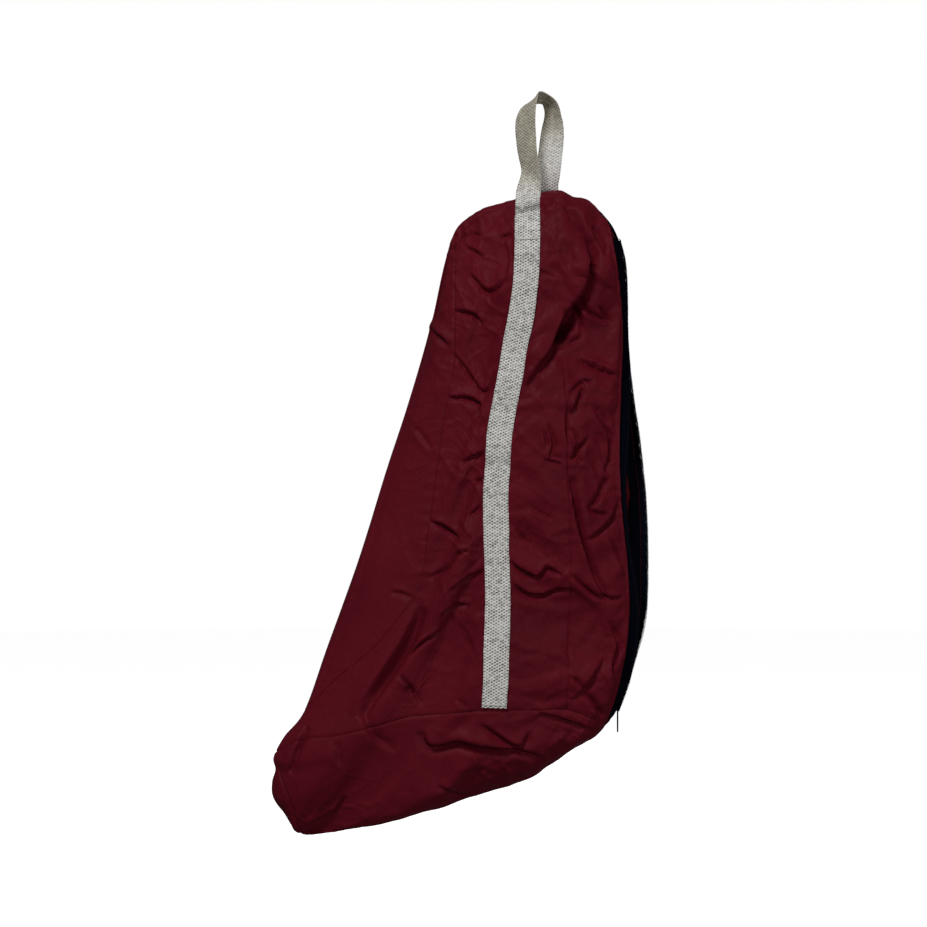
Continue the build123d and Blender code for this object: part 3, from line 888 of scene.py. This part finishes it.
def ridge_panel(name, phi_from, phi_to, rows_of, nodes, end_row, surface=NYLON):
    """A panel that wraps over the top or under the foot: its middle row is where the two sides meet."""
    cols = int(abs(phi_to - phi_from) / math.pi * RIDGE_COLUMNS) + 2
    phi = np.linspace(phi_from, phi_to, cols)
    share = np.linspace(1, 0, RIDGE_ROWS)[:, None]
    skins = []
    for side in SIDES:
        psi = end_row + (rows_of[side](phi)[None, :] - end_row) * share
        angle = np.repeat(-SIDES[side] * phi[None, :], len(share), 0)
        skins.append(skin_at(angle, psi, sewn_inset(plain(angle, psi), ["above"])))
    near, far = skins
    middle = (near[-1:] + far[-1:]) / 2
    points = np.vstack([near[:-1], middle, far[:-1][::-1]])
    piece = sheet(name, points, FABRIC, end_row < 0.5, surface, nodes)
    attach(piece, "bag")


def make_side_panels(side):
    """The side, foot and back panels of one side."""
    flip = side == "far"
    lines = (FRONT_ANGLE[side], REAR_ANGLE[side], TOP_ROW[side], FOOT_ROW[side])
    piece = panel(f"side_cloth_{side}", lines, ALL_SIDES, [f"side_panel_{side}"], flip, "right")
    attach(piece, "bag")
    lines = (TOE_ANGLE[side], EDGE_ANGLE[side], FOOT_ROW[side], constant(SOLE_ROW))
    piece = panel(f"foot_cloth_{side}", lines, ALL_SIDES, [f"foot_panel_{side}"], flip)
    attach(piece, "bag")
    split = constant(row_of_height(side, FLAP_MIDDLE))
    backs = (("upper", "above", TOP_ROW[side], split), ("lower", "below", split, FOOT_ROW[side]))
    for half, sewn_end, above, below in backs:
        lines = (REAR_ANGLE[side], EDGE_ANGLE[side], above, below)
        nodes = [f"back_panel_{side}", f"back_panel_ends_{side}"]
        piece = panel(f"back_cloth_{half}_{side}", lines, ["left", sewn_end, "hem"], nodes, flip, "left")
        blend_flap(piece)


def make_shared_panels():
    """The front, toe, top and sole panels and the cap of the zip, which both sides share."""
    lines = (FRONT_ANGLE["far"], FRONT_ANGLE["near"], TOP_ROW["near"], constant(row_where_closed()))
    piece = panel("front_cloth", lines, ["left", "right"], ["front_gusset"])
    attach(piece, "bag")
    lines = (TOE_ANGLE["far"], TOE_ANGLE["near"], FOOT_ROW["near"], constant(SOLE_ROW))
    piece = panel("toe_cloth", lines, ["left", "right", "above"], ["sole_panel"])
    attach(piece, "bag")
    ridge_panel("top_cloth", TOP_START, top_end, TOP_ROW, ["top_gusset"], 0.0)
    nodes = ["zip_tape_ends_near", "zip_tape_ends_far"]
    ridge_panel("zip_tape_cap", top_end, math.pi - 0.02, TOP_ROW, nodes, 0.0, TAPE)
    sole_rows = {side: constant(SOLE_ROW) for side in SIDES}
    ridge_panel("sole_cloth", SOLE_START, math.pi - 0.02, sole_rows, ["sole_panel"], 1.0)


for side in SIDES:
    make_side_panels(side)
make_shared_panels()

# ---- bindings and turned-in edges inside the seams --------------------------
BINDING_HALF = 4.0
BINDING_DEEP = 2.2
BINDING_THICK = 0.7
BINDING_TOP_ROW = 0.03
REAR_BINDING_END = 0.83
TOP_BINDING_HALF = 0.010  # in rows, as is the next
FOOT_BINDING_HALF = 0.008
HEEL_ROW = 0.85  # the row of the foot seam's heel end
ALLOWANCE_REACH = (-5.0, 0.8)  # from the rear seam, towards the front and towards the zip
ALLOWANCE_DEEP = 1.7
ALLOWANCE_THICK = 0.35


def make_binding(name, side, places, nodes=(), deep=BINDING_DEEP, thick=BINDING_THICK):
    """A ribbon on the inside along a seam, between two lines of angles and rows."""
    (phi_a, psi_a), (phi_b, psi_b) = places
    share = np.linspace(0, 1, 6)
    phi = phi_a[:, None] * (1 - share) + phi_b[:, None] * share
    psi = psi_a[:, None] * (1 - share) + psi_b[:, None] * share
    points = skin_at(phi, psi, np.full(phi.shape, deep))
    return sheet(name, points, thick, side == "near", LINING, nodes)


def beside_seam(side, line, psi, reaches):
    """Two lines along an upright seam, at two distances from it."""
    return [(angle_line(side, line, reach)(psi), psi) for reach in reaches]


def foot_seam_angles(side, first, short, count):
    """Signed angles along the foot seam, which stop a little short of the heel."""
    heel = float(np.abs(EDGE_ANGLE[side](HEEL_ROW)))
    return -SIDES[side] * np.linspace(first, heel - short, count)


def make_bindings(side):
    for seam, line in (("front", FRONT_SEAM), ("rear", REAR_SEAM)):
        low_row = REAR_BINDING_END if seam == "rear" else row_where_closed() - 0.01
        psi = np.linspace(BINDING_TOP_ROW, low_row, 200)
        places = beside_seam(side, line, psi, (-BINDING_HALF, BINDING_HALF))
        node = f"{seam}_seam_binding_{side}"
        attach(make_binding(f"{seam}_binding_{side}", side, places, [node]), "bag")
    phi = -SIDES[side] * np.linspace(0.03, math.pi - 0.06, 150)
    rows = TOP_ROW[side](phi)
    places = [(phi, rows - TOP_BINDING_HALF), (phi, rows + TOP_BINDING_HALF)]
    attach(make_binding(f"top_binding_{side}", side, places), "bag")
    phi = foot_seam_angles(side, 0.35, 0.05, 120)
    rows = FOOT_ROW[side](phi)
    places = [(phi, rows - FOOT_BINDING_HALF), (phi, rows + FOOT_BINDING_HALF)]
    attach(make_binding(f"foot_binding_{side}", side, places, [f"foot_seam_binding_{side}"]), "bag")


def make_seam_allowances(side):
    """The back panels' turned-in edges under the rear seam, in an upper and a lower half."""
    angle = REAR_ANGLE[side](0.5)
    first, last = float(TOP_ROW[side](angle)) + 0.005, float(FOOT_ROW[side](angle)) - 0.005
    for half, rows in halves(side, first, last):
        places = beside_seam(side, REAR_SEAM, np.linspace(*rows, 120), ALLOWANCE_REACH)
        name = f"seam_allowance_{half}_{side}"
        blend_flap(make_binding(name, side, places, (), ALLOWANCE_DEEP, ALLOWANCE_THICK))


for side in SIDES:
    make_bindings(side)
for side in SIDES:
    make_seam_allowances(side)

# ---- webbing: the straps and the carry loop are one length ------------------
WEBBING_THICK = 1.6
RIBBON_STEPS = 1900
RIBBON_COLUMNS = 40
RIB_PITCH = 3.0  # one knot of the weave along the webbing
CORD_PITCH = 2.5  # and across it
RIB_HEIGHT = 0.62
STRAP_LOW, STRAP_TOP = -614.0, -113.0
STRAP_STEPS = 105
STRAP_LIFT = 1.6  # off the skin
STRAP_PROBE = 9  # half the width over which the skin under the strap is averaged
LOOP_STATIONS = [
    # centre of the webbing, then in degrees its width's turn from +X and how far its near edge is tipped up
    ((-12.8, -11.0, -103), 0, 0),
    ((-11.5, -8.0, -95), 20, 0),
    ((-10.0, -6.5, -81), 42, 0),
    ((-13.0, -7.0, -66), 42, 0),
    ((-14.8, -7.5, -51), 38, 0),
    ((-15.6, -7.2, -30), 40, 0),
    ((-11.0, -4.5, -13), 58, 10),
    ((-0.5, 0.0, -6.5), 90, 24),
    ((9.0, 3.5, -13), 62, 12),
    ((12.0, 6.5, -25), 50, 0),
    ((11.7, 7.5, -40), 28, 0),
    ((9.8, 6.5, -59), 12, 0),
    ((7.3, 5.4, -79), 6, 0),
    ((5.0, 8.4, -94), 0, 0),
    ((5.5, 13.5, -103), 0, 0),
]
STAIN_AND_SHADE_BANDS = [
    # height, half height and darkness of the grey bands across the near strap: the first is painted shade at
    # the strap's bend under the loop, the second a dark band across it, the rest stains
    (-119.5, 4.5, 0.55), (-171, 5, 0.22), (-314, 4, 0.2), (-369, 5, 0.3), (-404, 4, 0.18), (-469, 5, 0.2),
]
NEAR_LOOP_GRIME_AND_SHADE = (-112, -70)  # heights over which the webbing greys towards the loop, near and far, partly with grime and partly with painted shade
FAR_LOOP_GRIME_AND_SHADE = (-62, -20)
# heights over which the loop's apex is darkened with painted shade
APEX_PAINTED_SHADE = (-22, -6)
# how dark the loop's grime and painted shade are, and the apex's extra painted shade
LOOP_DARK, APEX_DARK = 0.29, 0.10
GAP_HEIGHTS = (-112, -80)  # painted shade in the weave's gaps: dark below these heights and paler above
# how bright the gaps' painted shade leaves them low down, and how much brighter above
GAP_DARK, GAP_RISE = 0.02, 0.41
WARMTH = (0.22, 0.26, 0.38)  # what the loop's red, green and blue lose: a yellowing from grime, and more of the loop's painted shade
TACK_HEIGHTS = {"upper": -150.0, "lower": -611.0}
TACK_HALF = 11.0
TACK_TURNS = 34
TACK_SWING = 1.3
TACK_THREAD = 0.32
WIRE_GUIDE = np.array([0.3, 0.2, 1.0])  # never along a wire's own direction for long


def strap_stations(side):
    """Centre and width direction of the strap on one side, from its lower end up."""
    heights = np.linspace(STRAP_LOW, STRAP_TOP, STRAP_STEPS)
    rows = np.linspace(0.01, 0.999, 400)
    places = plain(angle_line(side, STRAP_LINES[side])(rows), rows)
    order = np.argsort(places[:, 2])
    row = np.interp(heights, places[order, 2], rows[order])
    across = []
    for offset in (-STRAP_PROBE, 0, STRAP_PROBE):
        across.append(skin_at(angle_line(side, STRAP_LINES[side], offset)(row), row, creased=False))
    middle = soften(np.mean(across, axis=0), 5)
    width = soften(across[2] - across[0], 5)
    along = unit(np.gradient(middle, axis=0))
    width -= along * np.sum(width * along, axis=1, keepdims=True)
    width = unit(width)
    outward = np.cross(width, along)
    outward *= np.sign(outward[:, 1:2] * SIDES[side])
    middle = middle + unit(outward) * STRAP_LIFT
    middle[:, 0] = strap_curves[side].x_of_z(middle[:, 2])
    return middle, width


def ribbon_path():
    """Centre, width direction and outward direction along the whole webbing, near foot to far foot."""
    near_mid, near_wide = strap_stations("near")
    far_mid, far_wide = strap_stations("far")
    loop_mid = np.array([centre for centre, turn, tip in LOOP_STATIONS], float)
    turns = np.radians([turn for centre, turn, tip in LOOP_STATIONS])
    tips = np.radians([tip for centre, turn, tip in LOOP_STATIONS])
    loop_wide = np.stack([np.cos(turns) * np.cos(tips), -np.sin(turns) * np.cos(tips), np.sin(tips)], 1)
    middle = np.vstack([near_mid, loop_mid, far_mid[::-1]])
    wide = np.vstack([near_wide, loop_wide, far_wide[::-1]])
    joined = smooth(np.hstack([middle, wide]), RIBBON_STEPS, 16)
    middle, wide = joined[:, :3], unit(joined[:, 3:])
    return middle, wide, unit(np.cross(wide, np.gradient(middle, axis=0)))


def ribbon_faces(steps, columns):
    """The outer and inner face of the webbing, its two edges and its two ends."""
    count = steps * columns
    faces = grid_faces(steps, columns) + grid_faces(steps, columns, count, flip=True)
    for a in range(steps - 1):
        low, high = a * columns, (a + 1) * columns
        faces.append((low, high, high + count, low + count))
        low, high = low + columns - 1, high + columns - 1
        faces.append((low, low + count, high + count, high))
    for b in range(columns - 1):
        last = (steps - 1) * columns
        faces.append((b, b + count, b + 1 + count, b + 1))
        faces.append((last + b, last + b + 1, last + b + 1 + count, last + b + count))
    return faces


def soil_and_shade_colours(middle, s, lateral, weave):
    """The webbing's stains, grime and painted shade as a colour at each point: stains and painted shade in
    bands on the strap, grime and painted shade on the loop, painted shade at the apex and in the weave's
    gaps.
    """
    soil_and_shade = np.ones(s.shape)
    height = middle[:, 2][:, None]
    # bands across the near strap: painted shade at its bend under the loop, a dark band below it, and stains
    # lower down
    for z, half, dark in STAIN_AND_SHADE_BANDS:
        soil_and_shade -= dark * np.exp(-(((height - z + 3 * lattice_noise(s / 9, lateral / 6, 95)) / half) ** 2))
    on_near = np.arange(len(middle)) < np.argmax(middle[:, 2])
    low, high = (np.where(on_near, a, b) for a, b in zip(NEAR_LOOP_GRIME_AND_SHADE, FAR_LOOP_GRIME_AND_SHADE))
    # the loop greys towards its top, partly with grime and partly with painted shade
    loop = step_up(middle[:, 2], low, high)[:, None]
    # the apex darker still, with painted shade
    apex = step_up(middle[:, 2], *APEX_PAINTED_SHADE)[:, None]
    soil_and_shade -= (LOOP_DARK * loop + APEX_DARK * apex) * (0.7 + 0.3 * lattice_noise(s / 8, lateral / 5, 96))
    # painted shade in the gaps of the weave, lighter towards the loop
    gaps = GAP_DARK + GAP_RISE * step_up(middle[:, 2], *GAP_HEIGHTS)[:, None]
    soil_and_shade *= gaps + (1 - gaps) * step_up(weave, -0.75, 0.18)
    soil_and_shade *= 1.0 + (0.42 - gaps * 0.5) * lattice_noise(s / RIB_PITCH * 2, lateral / CORD_PITCH, 97)
    # the loop yellows with grime and darkens further with painted shade
    channels = [soil_and_shade - loss * soil_and_shade * loop for loss in WARMTH]
    return np.stack(channels + [np.ones_like(soil_and_shade)], -1).reshape(-1, 4)


def make_webbing():
    """Both straps and the carry loop, woven in the mesh; returns the webbing's path."""
    middle, wide, outward = ribbon_path()
    s, c = np.meshgrid(distances(middle), np.linspace(-1, 1, RIBBON_COLUMNS + 1), indexing="ij")
    lateral = c * STRAP_HALF
    cord = lateral / CORD_PITCH
    knot = np.cos(s * 2 * math.pi / RIB_PITCH + math.pi * np.floor(cord))
    weave = knot * np.abs(np.sin(math.pi * cord)) ** 0.6
    weave *= 0.8 + 0.3 * lattice_noise(s / 5, lateral / 4, 91)
    waver = 0.35 * lattice_noise(s / 30, c, 92) + 0.15 * lattice_noise(s / 4, c * 3, 94)
    edge = np.sqrt(np.clip(1 - np.abs(c) ** 8, 0, 1))
    face = WEBBING_THICK / 2 * (0.35 + 0.65 * edge) + RIB_HEIGHT * weave * edge
    spot = middle[:, None, :] + wide[:, None, :] * (lateral + waver * c)[..., None]
    lift = outward[:, None, :] * face[..., None]
    points = np.vstack([(spot + lift).reshape(-1, 3), (spot - lift).reshape(-1, 3)])
    piece = new_mesh("webbing_strap", points, ribbon_faces(*s.shape))
    # the stains, grime and painted shade, as a colour at each point
    tint = soil_and_shade_colours(middle, s, lateral, weave)
    layer = piece.data.color_attributes.new("soil_and_shade", "FLOAT_COLOR", "POINT")
    layer.data.foreach_set("color", np.vstack([tint, tint]).clip(0, 1).astype(np.float32).ravel())
    finish_piece(piece, WEBBING, ["strap_near", "strap_far", "carry_loop"])
    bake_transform(piece)
    return middle, wide, outward


def wire(name, line, radius, around):
    """A round closed tube along a line of points."""
    way = unit(np.gradient(line, axis=0))
    first = unit(np.cross(way, WIRE_GUIDE))
    second = np.cross(way, first)
    angle = np.linspace(0, 2 * math.pi, around, endpoint=False)
    ring = first[:, None, :] * np.cos(angle)[:, None] + second[:, None, :] * np.sin(angle)[:, None]
    points = (line[:, None, :] + ring * radius).reshape(-1, 3)
    faces = []
    for a in range(len(line) - 1):
        for b in range(around):
            c = (b + 1) % around
            faces.append((a * around + b, a * around + c, (a + 1) * around + c, (a + 1) * around + b))
    faces.append(tuple(range(around))[::-1])
    faces.append(tuple((len(line) - 1) * around + b for b in range(around)))
    return new_mesh(name, points, faces)


def make_tack(side, place, height):
    """A bar of zigzag thread across the webbing at one end of a strap."""
    middle, wide, outward = webbing_line
    on_side = middle[:, 1] * SIDES[side] > 0
    at = np.argmin(np.abs(middle[:, 2] - height) + 1000 * ~on_side)
    face = outward[at] * np.sign(outward[at][1] * SIDES[side])
    up = np.cross(wide[at], face)
    turn = np.linspace(0, 1, 8 * TACK_TURNS)[:, None]
    swing = np.arcsin(np.sin(turn * TACK_TURNS * 2 * math.pi)) * 2 / math.pi
    line = middle[at] + wide[at] * (2 * turn - 1) * TACK_HALF + up * swing * TACK_SWING
    line = line + face * (WEBBING_THICK / 2 + RIB_HEIGHT)
    piece = wire(f"strap_tack_{place}_{side}", line, TACK_THREAD, 6)
    finish_piece(piece, PALE_THREAD, ["strap_bar_tacks"])
    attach(piece, "bag")


webbing_line = make_webbing()

# ---- zip --------------------------------------------------------------------
FAR_TAPE_END = math.pi - 0.07
TAPE_UNDER_HEM = 0.05  # how far the tape starts under the panel's edge, in radians
TAPE_LEAST = 0.04  # and how far past that edge it reaches at least
TAPE_PAST_COIL = 0.03
TAPE_ROWS = (0.012, 0.955)
TAPE_THICK = 0.6
TAPE_DEEP, COIL_EDGE_DEEP = 2.7, 0.5  # below the skin, at its sewn edge and at its open edge
TAPE_RIPPLE = 0.35
TAPE_RIPPLE_PITCH = 11
SLIDER_ROOM = 0.10  # how much further the tapes part where the slider and its pull tab run
SLIDER_ROWS = (0.70, 0.78, 0.93, 0.97)
ZIP_TOP, ZIP_LOW = -122.0, -619.0
COIL_PITCH = 1.3
COIL_TURN_POINTS = 9
COIL_WIRE = 0.42
COIL_REACH = 1.7
COIL_DEEP = 1.1
COIL_LIFT = 0.7


def rows_between(side, high, low, angle_of):
    """The rows at which an upright line reaches two heights."""
    heights = plain(angle_of(PSI), PSI)[:, 2]
    return np.interp([-high, -low], -heights, PSI)


def near_open_angles():
    """The near tape's open edge at each row, eased where it leaves the middle line."""
    end = phi_of_line("near", NEAR_OPEN)
    end = np.where(end > panel_end["near"], end, FAR_TAPE_END)
    return soften(np.minimum(end, FAR_TAPE_END), 30)


NEAR_END = near_open_angles()


def tape_angles(side, psi):
    """Signed angles of a tape's sewn edge and open edge at each row."""
    start = np.interp(psi, PSI, panel_end[side])
    end = np.interp(psi, PSI, NEAR_END) if side == "near" else np.full(psi.shape, FAR_TAPE_END)
    closing = step_up(np.abs(psi - 0.5), 0.40, 0.49)
    end = end + (FAR_TAPE_END - end) * closing
    slider_room = step_up(psi, *SLIDER_ROWS[:2]) * (1 - step_up(psi, *SLIDER_ROWS[2:]))
    end = np.minimum(end, FAR_TAPE_END - SLIDER_ROOM * slider_room)
    return -SIDES[side] * (start - TAPE_UNDER_HEM), -SIDES[side] * np.maximum(end, start + TAPE_LEAST)


def make_tape(side, half, rows):
    """Half the length of one zip tape, a little inside the panel's edge."""
    psi = np.linspace(*rows, 130)
    first, last = tape_angles(side, psi)
    last = last - SIDES[side] * TAPE_PAST_COIL
    share = np.linspace(0, 1, 12)
    phi = first[:, None] * (1 - share) + last[:, None] * share
    deep = TAPE_DEEP - (TAPE_DEEP - COIL_EDGE_DEEP) * step_up(share, 0.3, 1.0)
    psi = np.repeat(psi[:, None], len(share), 1)
    place = skin_at(phi, psi, np.broadcast_to(deep, phi.shape), creased=False)
    ripple = TAPE_RIPPLE * np.sin(place[..., 2] * 2 * math.pi / TAPE_RIPPLE_PITCH) * share
    points = place + skin_normal(phi, psi) * ripple[..., None]
    # the far tape takes the lighter copy, with painted light
    surface = TAPE if side == "near" else TAPE_PAINTED_LIGHT
    nodes = [f"zip_tape_{side}", f"zip_tape_ends_{side}"]
    name = f"zip_tape_{half}_{side}"
    blend_flap(sheet(name, points, TAPE_THICK, side == "far", surface, nodes))


def make_coil(side, half, rows):
    """Half the length of one zip coil: a wire wound along the tape's open edge."""
    psi = np.linspace(*rows, 400)
    last = tape_angles(side, psi)[1]
    middle = skin_at(last, psi, creased=False)
    outward = skin_normal(last, psi)
    across = unit(np.cross(unit(np.gradient(middle, axis=0)), outward))
    length = distances(middle)
    turns = int(length[-1] / COIL_PITCH)
    count = turns * COIL_TURN_POINTS
    at = np.linspace(0, length[-1], count)
    middle, outward, across = (read_at(at, length, values) for values in (middle, outward, across))
    angle = np.linspace(0, turns * 2 * math.pi, count)[:, None]
    centre = middle + outward * COIL_LIFT
    spiral = centre + across * np.cos(angle) * COIL_REACH + outward * np.sin(angle) * COIL_DEEP
    piece = wire(f"zip_coil_{half}_{side}", spiral, COIL_WIRE, 5)
    finish_piece(piece, COIL, [f"zip_coil_{side}", f"zip_coil_ends_{side}"])
    blend_flap(piece)


def make_zip(side):
    coil_rows = rows_between(side, ZIP_TOP, ZIP_LOW, lambda psi: tape_angles(side, psi)[1])
    for tape, coil in zip(halves(side, *TAPE_ROWS), halves(side, *coil_rows)):
        make_tape(side, *tape)
        make_coil(side, *coil)


for side in SIDES:
    make_zip(side)
for side in SIDES:
    for place, height in TACK_HEIGHTS.items():
        make_tack(side, place, height)

# ---- stitches ---------------------------------------------------------------
STITCH_PITCH = 3.2
STITCH_LONG = 2.3
STITCH_THICK = 0.26
STITCH_STEPS = 7
STITCH_AROUND = 6
HEM_STITCH_TOP, HEM_STITCH_LOW = -128, -600
MOUTH_ROWS = (0.12, 0.86)
MOUTH_STITCH_AT = 0.62  # share of the tape's width
HEM_STITCH_DEEP, MOUTH_STITCH_DEEP, FOOT_STITCH_DEEP = 0.3, 2.6, 0.1  # below the skin
FOOT_STITCH_BELOW = 0.0045  # rows


def stitch_row(name, line, outward):
    """Short threads along a line of points, each dipping in at its ends."""
    length = distances(line)
    share = np.linspace(0, 1, STITCH_STEPS)
    lift = np.sin(share * math.pi) * 0.5 - 0.2
    ring = np.linspace(0, 2 * math.pi, STITCH_AROUND, endpoint=False)
    thick = STITCH_THICK * np.sqrt(np.clip(1 - (2 * share - 1) ** 6, 0.15, 1))[:, None]
    points, faces = [], []
    for k in range(int(length[-1] / STITCH_PITCH)):
        at = k * STITCH_PITCH + share * STITCH_LONG
        out = read_at(at, length, outward)
        middle = read_at(at, length, line) + out * lift[:, None]
        across = unit(np.cross(np.gradient(middle, axis=0), out))
        first = len(points)
        for m, a, o, t in zip(middle, across, out, thick):
            points.extend(m + t * (a * math.cos(r) + o * math.sin(r)) for r in ring)
        last = len(points) - STITCH_AROUND
        for low in range(first, last, STITCH_AROUND):
            high = low + STITCH_AROUND
            for b in range(STITCH_AROUND):
                c = (b + 1) % STITCH_AROUND
                faces.append((low + b, high + b, high + c, low + c))
        faces.append(tuple(range(first, first + STITCH_AROUND)))
        faces.append(tuple(range(last, last + STITCH_AROUND))[::-1])
    return finish_piece(new_mesh(name, points, faces), THREAD)


def make_stitches(side):
    """The topstitching beside the zip, inside the mouth and under the foot seam."""
    rows = rows_between(side, HEM_STITCH_TOP, HEM_STITCH_LOW, EDGE_ANGLE[side])
    for half, (high, low) in halves(side, *rows):
        psi = np.linspace(high, low, 260)
        angle = angle_line(side, EDGES[side], -HEM_STITCH)(psi)
        line = skin_at(angle, psi, HEM_STITCH_DEEP)
        blend_flap(stitch_row(f"hem_stitches_{half}_{side}", line, skin_normal(angle, psi)))
    for half, (high, low) in halves(side, *MOUTH_ROWS):
        psi = np.linspace(high, low, 200)
        start, end = tape_angles(side, psi)
        angle = start + (end - start) * MOUTH_STITCH_AT
        line = skin_at(angle, psi, MOUTH_STITCH_DEEP, creased=False)
        blend_flap(stitch_row(f"mouth_stitches_{half}_{side}", line, -skin_normal(angle, psi)))
    phi = foot_seam_angles(side, 0.5, 0.1, 300)
    rows = FOOT_ROW[side](phi) + FOOT_STITCH_BELOW
    line = skin_at(phi, rows, FOOT_STITCH_DEEP)
    piece = stitch_row(f"foot_stitches_{side}", line, skin_normal(phi, rows))
    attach(piece, "bag")


for side in SIDES:
    make_stitches(side)

# ---- CAD nodes: the zip's metal keeps its shape, and the hidden nodes get the lining ----
ENAMELLED = ("slider_body", "slider_bridge", "pull_tab", "zip_top_stops", "zip_bottom_stop")
for name, node in frame["nodes"].items():
    for place in node.material_slots:
        place.material = ENAMEL if name in ENAMELLED else LINING

# ---- stage, lights and camera, in metres ------------------------------------
FLOOR_Z = -0.90
FLOOR_RADIUS = 9.0
MIDDLE = (-0.0775, 0, -0.3725)  # the point the camera and the lights look at
VIEW_AWAY = 4.12
LENS = 160.0
LIGHTS = (  # name, place, size, power and whether it shows as a highlight
    ("key", (-1.5, -3.4, 3.2), 1.4, 122, True),
    ("fill", (1.5, -3.3, -0.1), 1.4, 24, True),
    ("back", (1.6, 3.0, 1.4), 1.8, 75, False),
)
SURROUND_LIGHT = 0.12


def paper_material():
    """A pale floor that glows a little, so that it stays near white under soft light."""
    made, tree, shader, place = new_material("paper", (0.6, 0.6, 0.6), 0.95)
    stops = [(0.0, (0.58, 0.58, 0.58)), (1.0, (0.62, 0.62, 0.62))]
    colour = ramp(tree, noise(tree, place, 40.0), stops)
    glow = {"Emission_Color": (1, 1, 1, 1), "Emission_Strength": 0.9}
    set_shader(tree, shader, colour, Specular_IOR_Level=0.0, **glow)
    return made


def make_stage():
    """A round pale floor, which sends no light back to the object."""
    turn = np.linspace(0, 2 * math.pi, 64, endpoint=False)
    points = [(FLOOR_RADIUS * math.cos(t), FLOOR_RADIUS * math.sin(t), FLOOR_Z) for t in turn]
    piece = new_mesh("floor", points, [tuple(range(len(points)))], 1.0)
    piece.data.materials.append(paper_material())
    piece.visible_diffuse = False
    piece.visible_glossy = False


def area_light(name, place, size, power, shine):
    """A round light turned towards the middle of the object."""
    light = bpy.data.lights.new(name, "AREA")
    light.shape = "DISK"
    light.size = size
    light.energy = power
    holder = bpy.data.objects.new(name, light)
    holder.location = place
    holder.rotation_euler = (Vector(MIDDLE) - Vector(place)).to_track_quat("-Z", "Y").to_euler()
    holder.visible_glossy = shine
    bpy.context.scene.collection.objects.link(holder)


def make_surround():
    """A surround that the camera sees as white but that lights the object only a little."""
    world = bpy.data.worlds.new("surround")
    world.use_nodes = True
    tree = world.node_tree
    shade = tree.nodes["Background"]
    seen = add_node(tree, "ShaderNodeLightPath").outputs["Is Camera Ray"]
    strength = add_node(tree, "ShaderNodeMapRange", {"Value": seen}, To_Min=SURROUND_LIGHT, To_Max=1.0)
    tree.links.new(strength.outputs["Result"], shade.inputs["Strength"])
    shade.inputs["Color"].default_value = (1, 1, 1, 1)
    bpy.context.scene.world = world
    bpy.context.scene.view_settings.view_transform = "Standard"


def make_camera():
    camera = bpy.data.cameras.new("camera")
    camera.lens = LENS
    camera.sensor_width = 36
    holder = bpy.data.objects.new("camera", camera)
    holder.location = (MIDDLE[0], -VIEW_AWAY, MIDDLE[2])
    holder.rotation_euler = (math.pi / 2, 0, 0)
    bpy.context.scene.collection.objects.link(holder)
    bpy.context.scene.camera = holder


make_stage()
for light in LIGHTS:
    area_light(*light)
make_surround()
make_camera()
